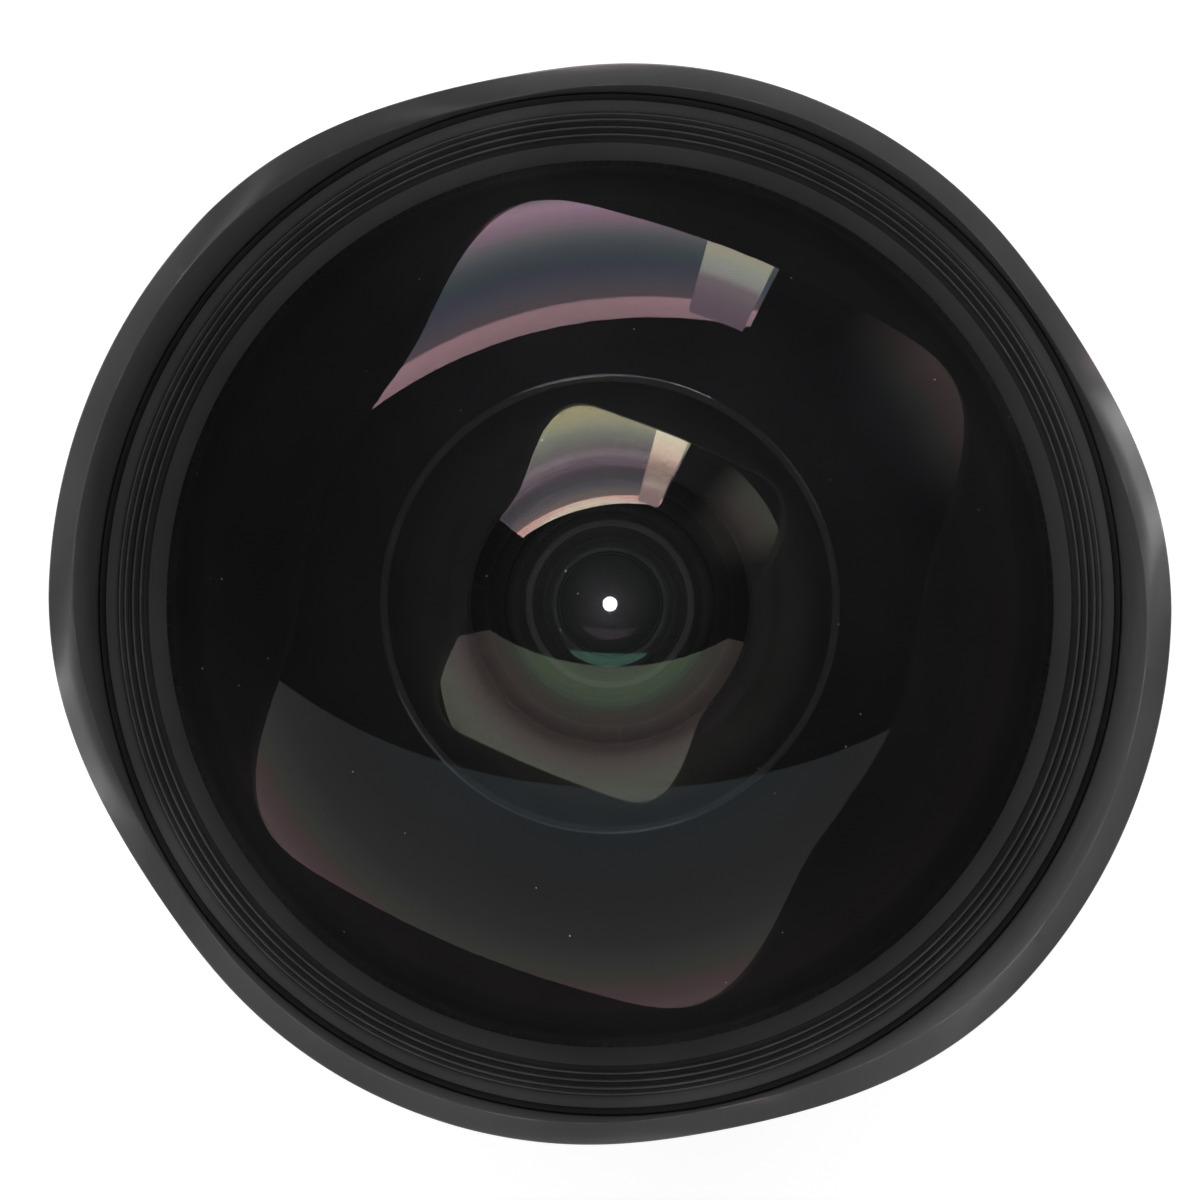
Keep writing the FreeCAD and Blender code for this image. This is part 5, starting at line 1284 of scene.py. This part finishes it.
@dataclass
class Panel:
    """A glowing studio panel, upright and facing the lens.

    Its glow in polished glass and metal goes by polar angles from the optical axis. On all else it
    gives plain white light.
    """

    name: str
    azimuth: float
    half_width: float
    low: float
    high: float
    glow: Stops
    plain: float = 1.0
    distance: float = 1.2
    soft: float = 0.0
    level: float = 0.112

    def share(self, polar: float) -> float:
        """How far up the panel, from 0 to 1, a polar angle in degrees lies."""
        return (self.level + self.distance / tan(radians(polar)) - self.low) / (self.high - self.low)

    def mesh(self, turn: float) -> Mesh:
        """Makes the panel's one face.

        Args:
            turn: The photograph's own turn about the axis, in degrees.

        Returns:
            The mesh, with a map that runs from 0 to 1 across and up the panel.
        """
        a = radians(self.azimuth + turn)
        middle = Vector((cos(a), sin(a), 0)) * self.distance
        across = Vector((-sin(a), cos(a), 0)) * self.half_width
        bm = bmesh.new()
        layer = bm.loops.layers.uv.new("panel")
        corners = [(side, top) for side, top in ((-1, 0), (1, 0), (1, 1), (-1, 1))]
        face = bm.faces.new([
            bm.verts.new(middle + across * side + Vector((0, 0, self.high if top else self.low)))
            for side, top in corners
        ])
        for loop, (side, top) in zip(face.loops, corners):
            loop[layer].uv = ((side + 1) / 2, top)
        return to_mesh(self.name, bm)

    def build(self, turn: float) -> None:
        """Builds the panel.

        Args:
            turn: The photograph's own turn about the axis, in degrees.
        """
        graph = Graph(self.name)
        brightest = max(max(colour) for _, colour in self.glow)
        across, up, _ = graph.split(graph.node("ShaderNodeUVMap", uv_map="panel"))
        stops = sorted(
            (self.share(polar), tuple(c / brightest for c in colour)) for polar, colour in self.glow
        )
        glowing = graph.ramp(up, stops)
        if self.soft:
            inwards = graph.math("PINGPONG", across, 0.5)
            glowing = graph.blend(graph.math("DIVIDE", inwards, self.soft), grey(0.0), glowing)
        colour = graph.blend(graph.mirrored(), grey(self.plain / brightest), glowing)
        graph.show(graph.node("ShaderNodeEmission", {"Color": colour, "Strength": brightest}))
        mesh = self.mesh(turn)
        mesh.materials.append(graph.material)
        piece = mesh_object(self.name, mesh)
        piece.visible_camera = False
        piece.visible_shadow = False


PANELS = (
    Panel(
        "bright_panel", 103.0, 1.0, -0.36, 0.808,
        (
            (60.0, (8.0, 4.9, 5.4)), (64.3, (9.3, 5.7, 6.2)), (64.8, (2.45, 1.85, 2.1)),
            (67.9, (1.75, 1.65, 1.95)), (71.8, (1.1, 1.2, 1.65)), (74.6, (0.88, 1.15, 1.3)),
            (78.0, (1.25, 1.3, 1.75)), (82.0, (2.15, 2.1, 2.75)), (86.0, (2.6, 2.55, 3.25)),
            (90.0, (1.15, 1.3, 1.35)), (97.0, (1.45, 1.55, 1.55)), (107.0, (3.2, 2.8, 2.1)),
        ),
        plain=3.0,
    ),
    Panel(
        "edge_panel", 69.5, 0.105, -0.3, 0.64,
        (
            (67.0, (3.53, 2.52, 3.23)), (73.0, (4.11, 3.41, 3.53)), (74.5, (5.59, 5.65, 5.29)),
            (86.0, (5.29, 4.71, 4.24)),
        ),
        plain=3.0, distance=1.1,
    ),
    Panel(
        "dim_panel", 268.0, 3.2, -0.3, 1.1, ((50.0, grey(0.588)), (80.0, grey(0.588))),
        plain=0.55, distance=0.8,
    ),
    Panel(
        "side_panel", 32.0, 0.34, -0.1, 0.6,
        ((64.0, grey(0.0124)), (72.0, (0.118, 0.129, 0.136)), (82.0, (0.323, 0.323, 0.312))),
        plain=0.5, distance=1.0, soft=0.35,
    ),
    Panel(
        "low_panel", 146.0, 0.26, -0.3, 0.17, ((88.0, (11.0, 11.0, 11.1)), (108.0, (11.0, 11.0, 11.1))),
        plain=2.4,
    ),
    Panel(
        "low_panel_opposite", 326.0, 0.26, -0.3, 0.17, ((88.0, grey(7.5)), (108.0, grey(7.5))),
        plain=2.4,
    ),
)


@dataclass
class Studio:
    """Pale floor, white surroundings with a dark ceiling, glowing panels and the camera."""

    photo_turn: float = -67.5
    photo_px: float = 1200.0
    shift_px: Pair = (-10.0, 4.0)
    camera_height: float = 0.478
    lens: float = 124.4
    sensor: float = 36.0
    nearest: float = 0.01
    floor_r: float = 6.0
    floor_sides: int = 96
    floor_z: float = -0.0078
    floor_colour: Colour = (0.8, 0.8, 0.79)
    floor_to_camera: float = 0.62
    floor_mirrored: float = 0.4
    # strength of the painted glow on the floor under the rear opening
    painted_glow_under_lens: float = 4.1
    near_floor: float = 0.28
    rear_opening: float = 0.02
    soft_colour: Colour = (0.64, 0.64, 0.65)
    soft_light: float = 0.75
    horizon: Pair = (-0.42, -0.36)
    ceiling: float = 0.012

    def build(self) -> None:
        """Builds everything round the lens."""
        self.floor()
        self.world()
        for panel in PANELS:
            panel.build(self.photo_turn)
        self.camera()

    def floor(self) -> None:
        """A plain pale floor that keeps the lens's shadow.

        Away from the lens it isn't there for polished faces. Right under the rear opening it
        glows for the rays that come through the glass.
        """
        bm = bmesh.new()
        bmesh.ops.create_circle(bm, cap_ends=True, segments=self.floor_sides, radius=self.floor_r)
        bmesh.ops.translate(bm, verts=bm.verts, vec=(0, 0, self.floor_z))
        graph = Graph("pale_floor")
        rays = graph.node("ShaderNodeLightPath").outputs
        radius, _ = graph.round_the_axis()
        # Painted glow: right under the rear opening, in the lens's own shadow, the floor glows for rays
        # that come through the glass
        below = graph.math("LESS_THAN", radius, self.rear_opening)
        below = graph.math("MULTIPLY", below, self.painted_glow_under_lens)
        below = graph.math("MULTIPLY", below, rays["Is Transmission Ray"])
        sharp = graph.math("MULTIPLY", graph.mirrored(), graph.math("ADD", below, self.floor_mirrored))
        direct = graph.math("MULTIPLY", rays["Is Camera Ray"], self.floor_to_camera)
        strength = graph.math("ADD", direct, sharp)
        glow = graph.node("ShaderNodeEmission", {"Color": grey(1.0), "Strength": strength})
        matt = graph.node("ShaderNodeBsdfDiffuse", {"Color": self.floor_colour})
        both = graph.node("ShaderNodeAddShader", {0: matt, 1: glow})
        far = graph.math("GREATER_THAN", radius, self.near_floor)
        gone = graph.math("MULTIPLY", far, graph.mirrored())
        graph.show(graph.either(gone, both, graph.node("ShaderNodeBsdfTransparent")))
        mesh = to_mesh("studio_floor", bm)
        mesh.materials.append(graph.material)
        mesh_object("studio_floor", mesh)

    def world(self) -> None:
        """White to the camera, soft on the lens, and a dark ceiling over a white horizon in glass."""
        world = bpy.data.worlds.new("studio")
        bpy.context.scene.world = world
        graph = Graph("studio", world)
        height = graph.split(graph.node("ShaderNodeTexCoord").outputs["Generated"])[2]
        sky = graph.mapped(height, self.horizon, 1.0, self.ceiling)
        lights = (self.soft_colour, self.soft_light), (grey(1.0), 1.0), (grey(1.0), sky)
        soft, white, dark = [
            graph.node("ShaderNodeBackground", {"Color": colour, "Strength": strength})
            for colour, strength in lights
        ]
        seen = graph.node("ShaderNodeLightPath").outputs["Is Camera Ray"]
        graph.show(graph.either(seen, graph.either(graph.mirrored(), soft, dark), white))

    def camera(self) -> None:
        """The photograph's camera, straight over the lens."""
        data = bpy.data.cameras.new("photo_camera")
        data.lens = self.lens
        data.sensor_width = self.sensor
        data.shift_x, data.shift_y = [shift / self.photo_px for shift in self.shift_px]
        data.clip_start = self.nearest
        holder = bpy.data.objects.new("photo_camera", data)
        bpy.context.scene.collection.objects.link(holder)
        holder.location = (0, 0, self.camera_height)
        holder.rotation_euler = (0, 0, radians(self.photo_turn))
        bpy.context.scene.camera = holder


def main() -> None:
    """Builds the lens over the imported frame, then the studio."""
    logging.basicConfig(level=logging.INFO, format="%(name)s: %(message)s")
    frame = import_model()
    scene = bpy.context.scene
    scene.view_settings.view_transform = "Standard"
    scene.cycles.max_bounces = BOUNCES
    scene.cycles.transmission_bounces = BOUNCES
    for assembly in (
        Glass(), GlassSurround(), Hood(), Shells(), RubberGrip(), DistanceScale(), WindowPane(),
        SwitchMarks(), MountIndex(),
    ):
        assembly.build()
    FrameFinishes().build(frame["nodes"])
    Studio().build()


if __name__ == "__main__":
    main()
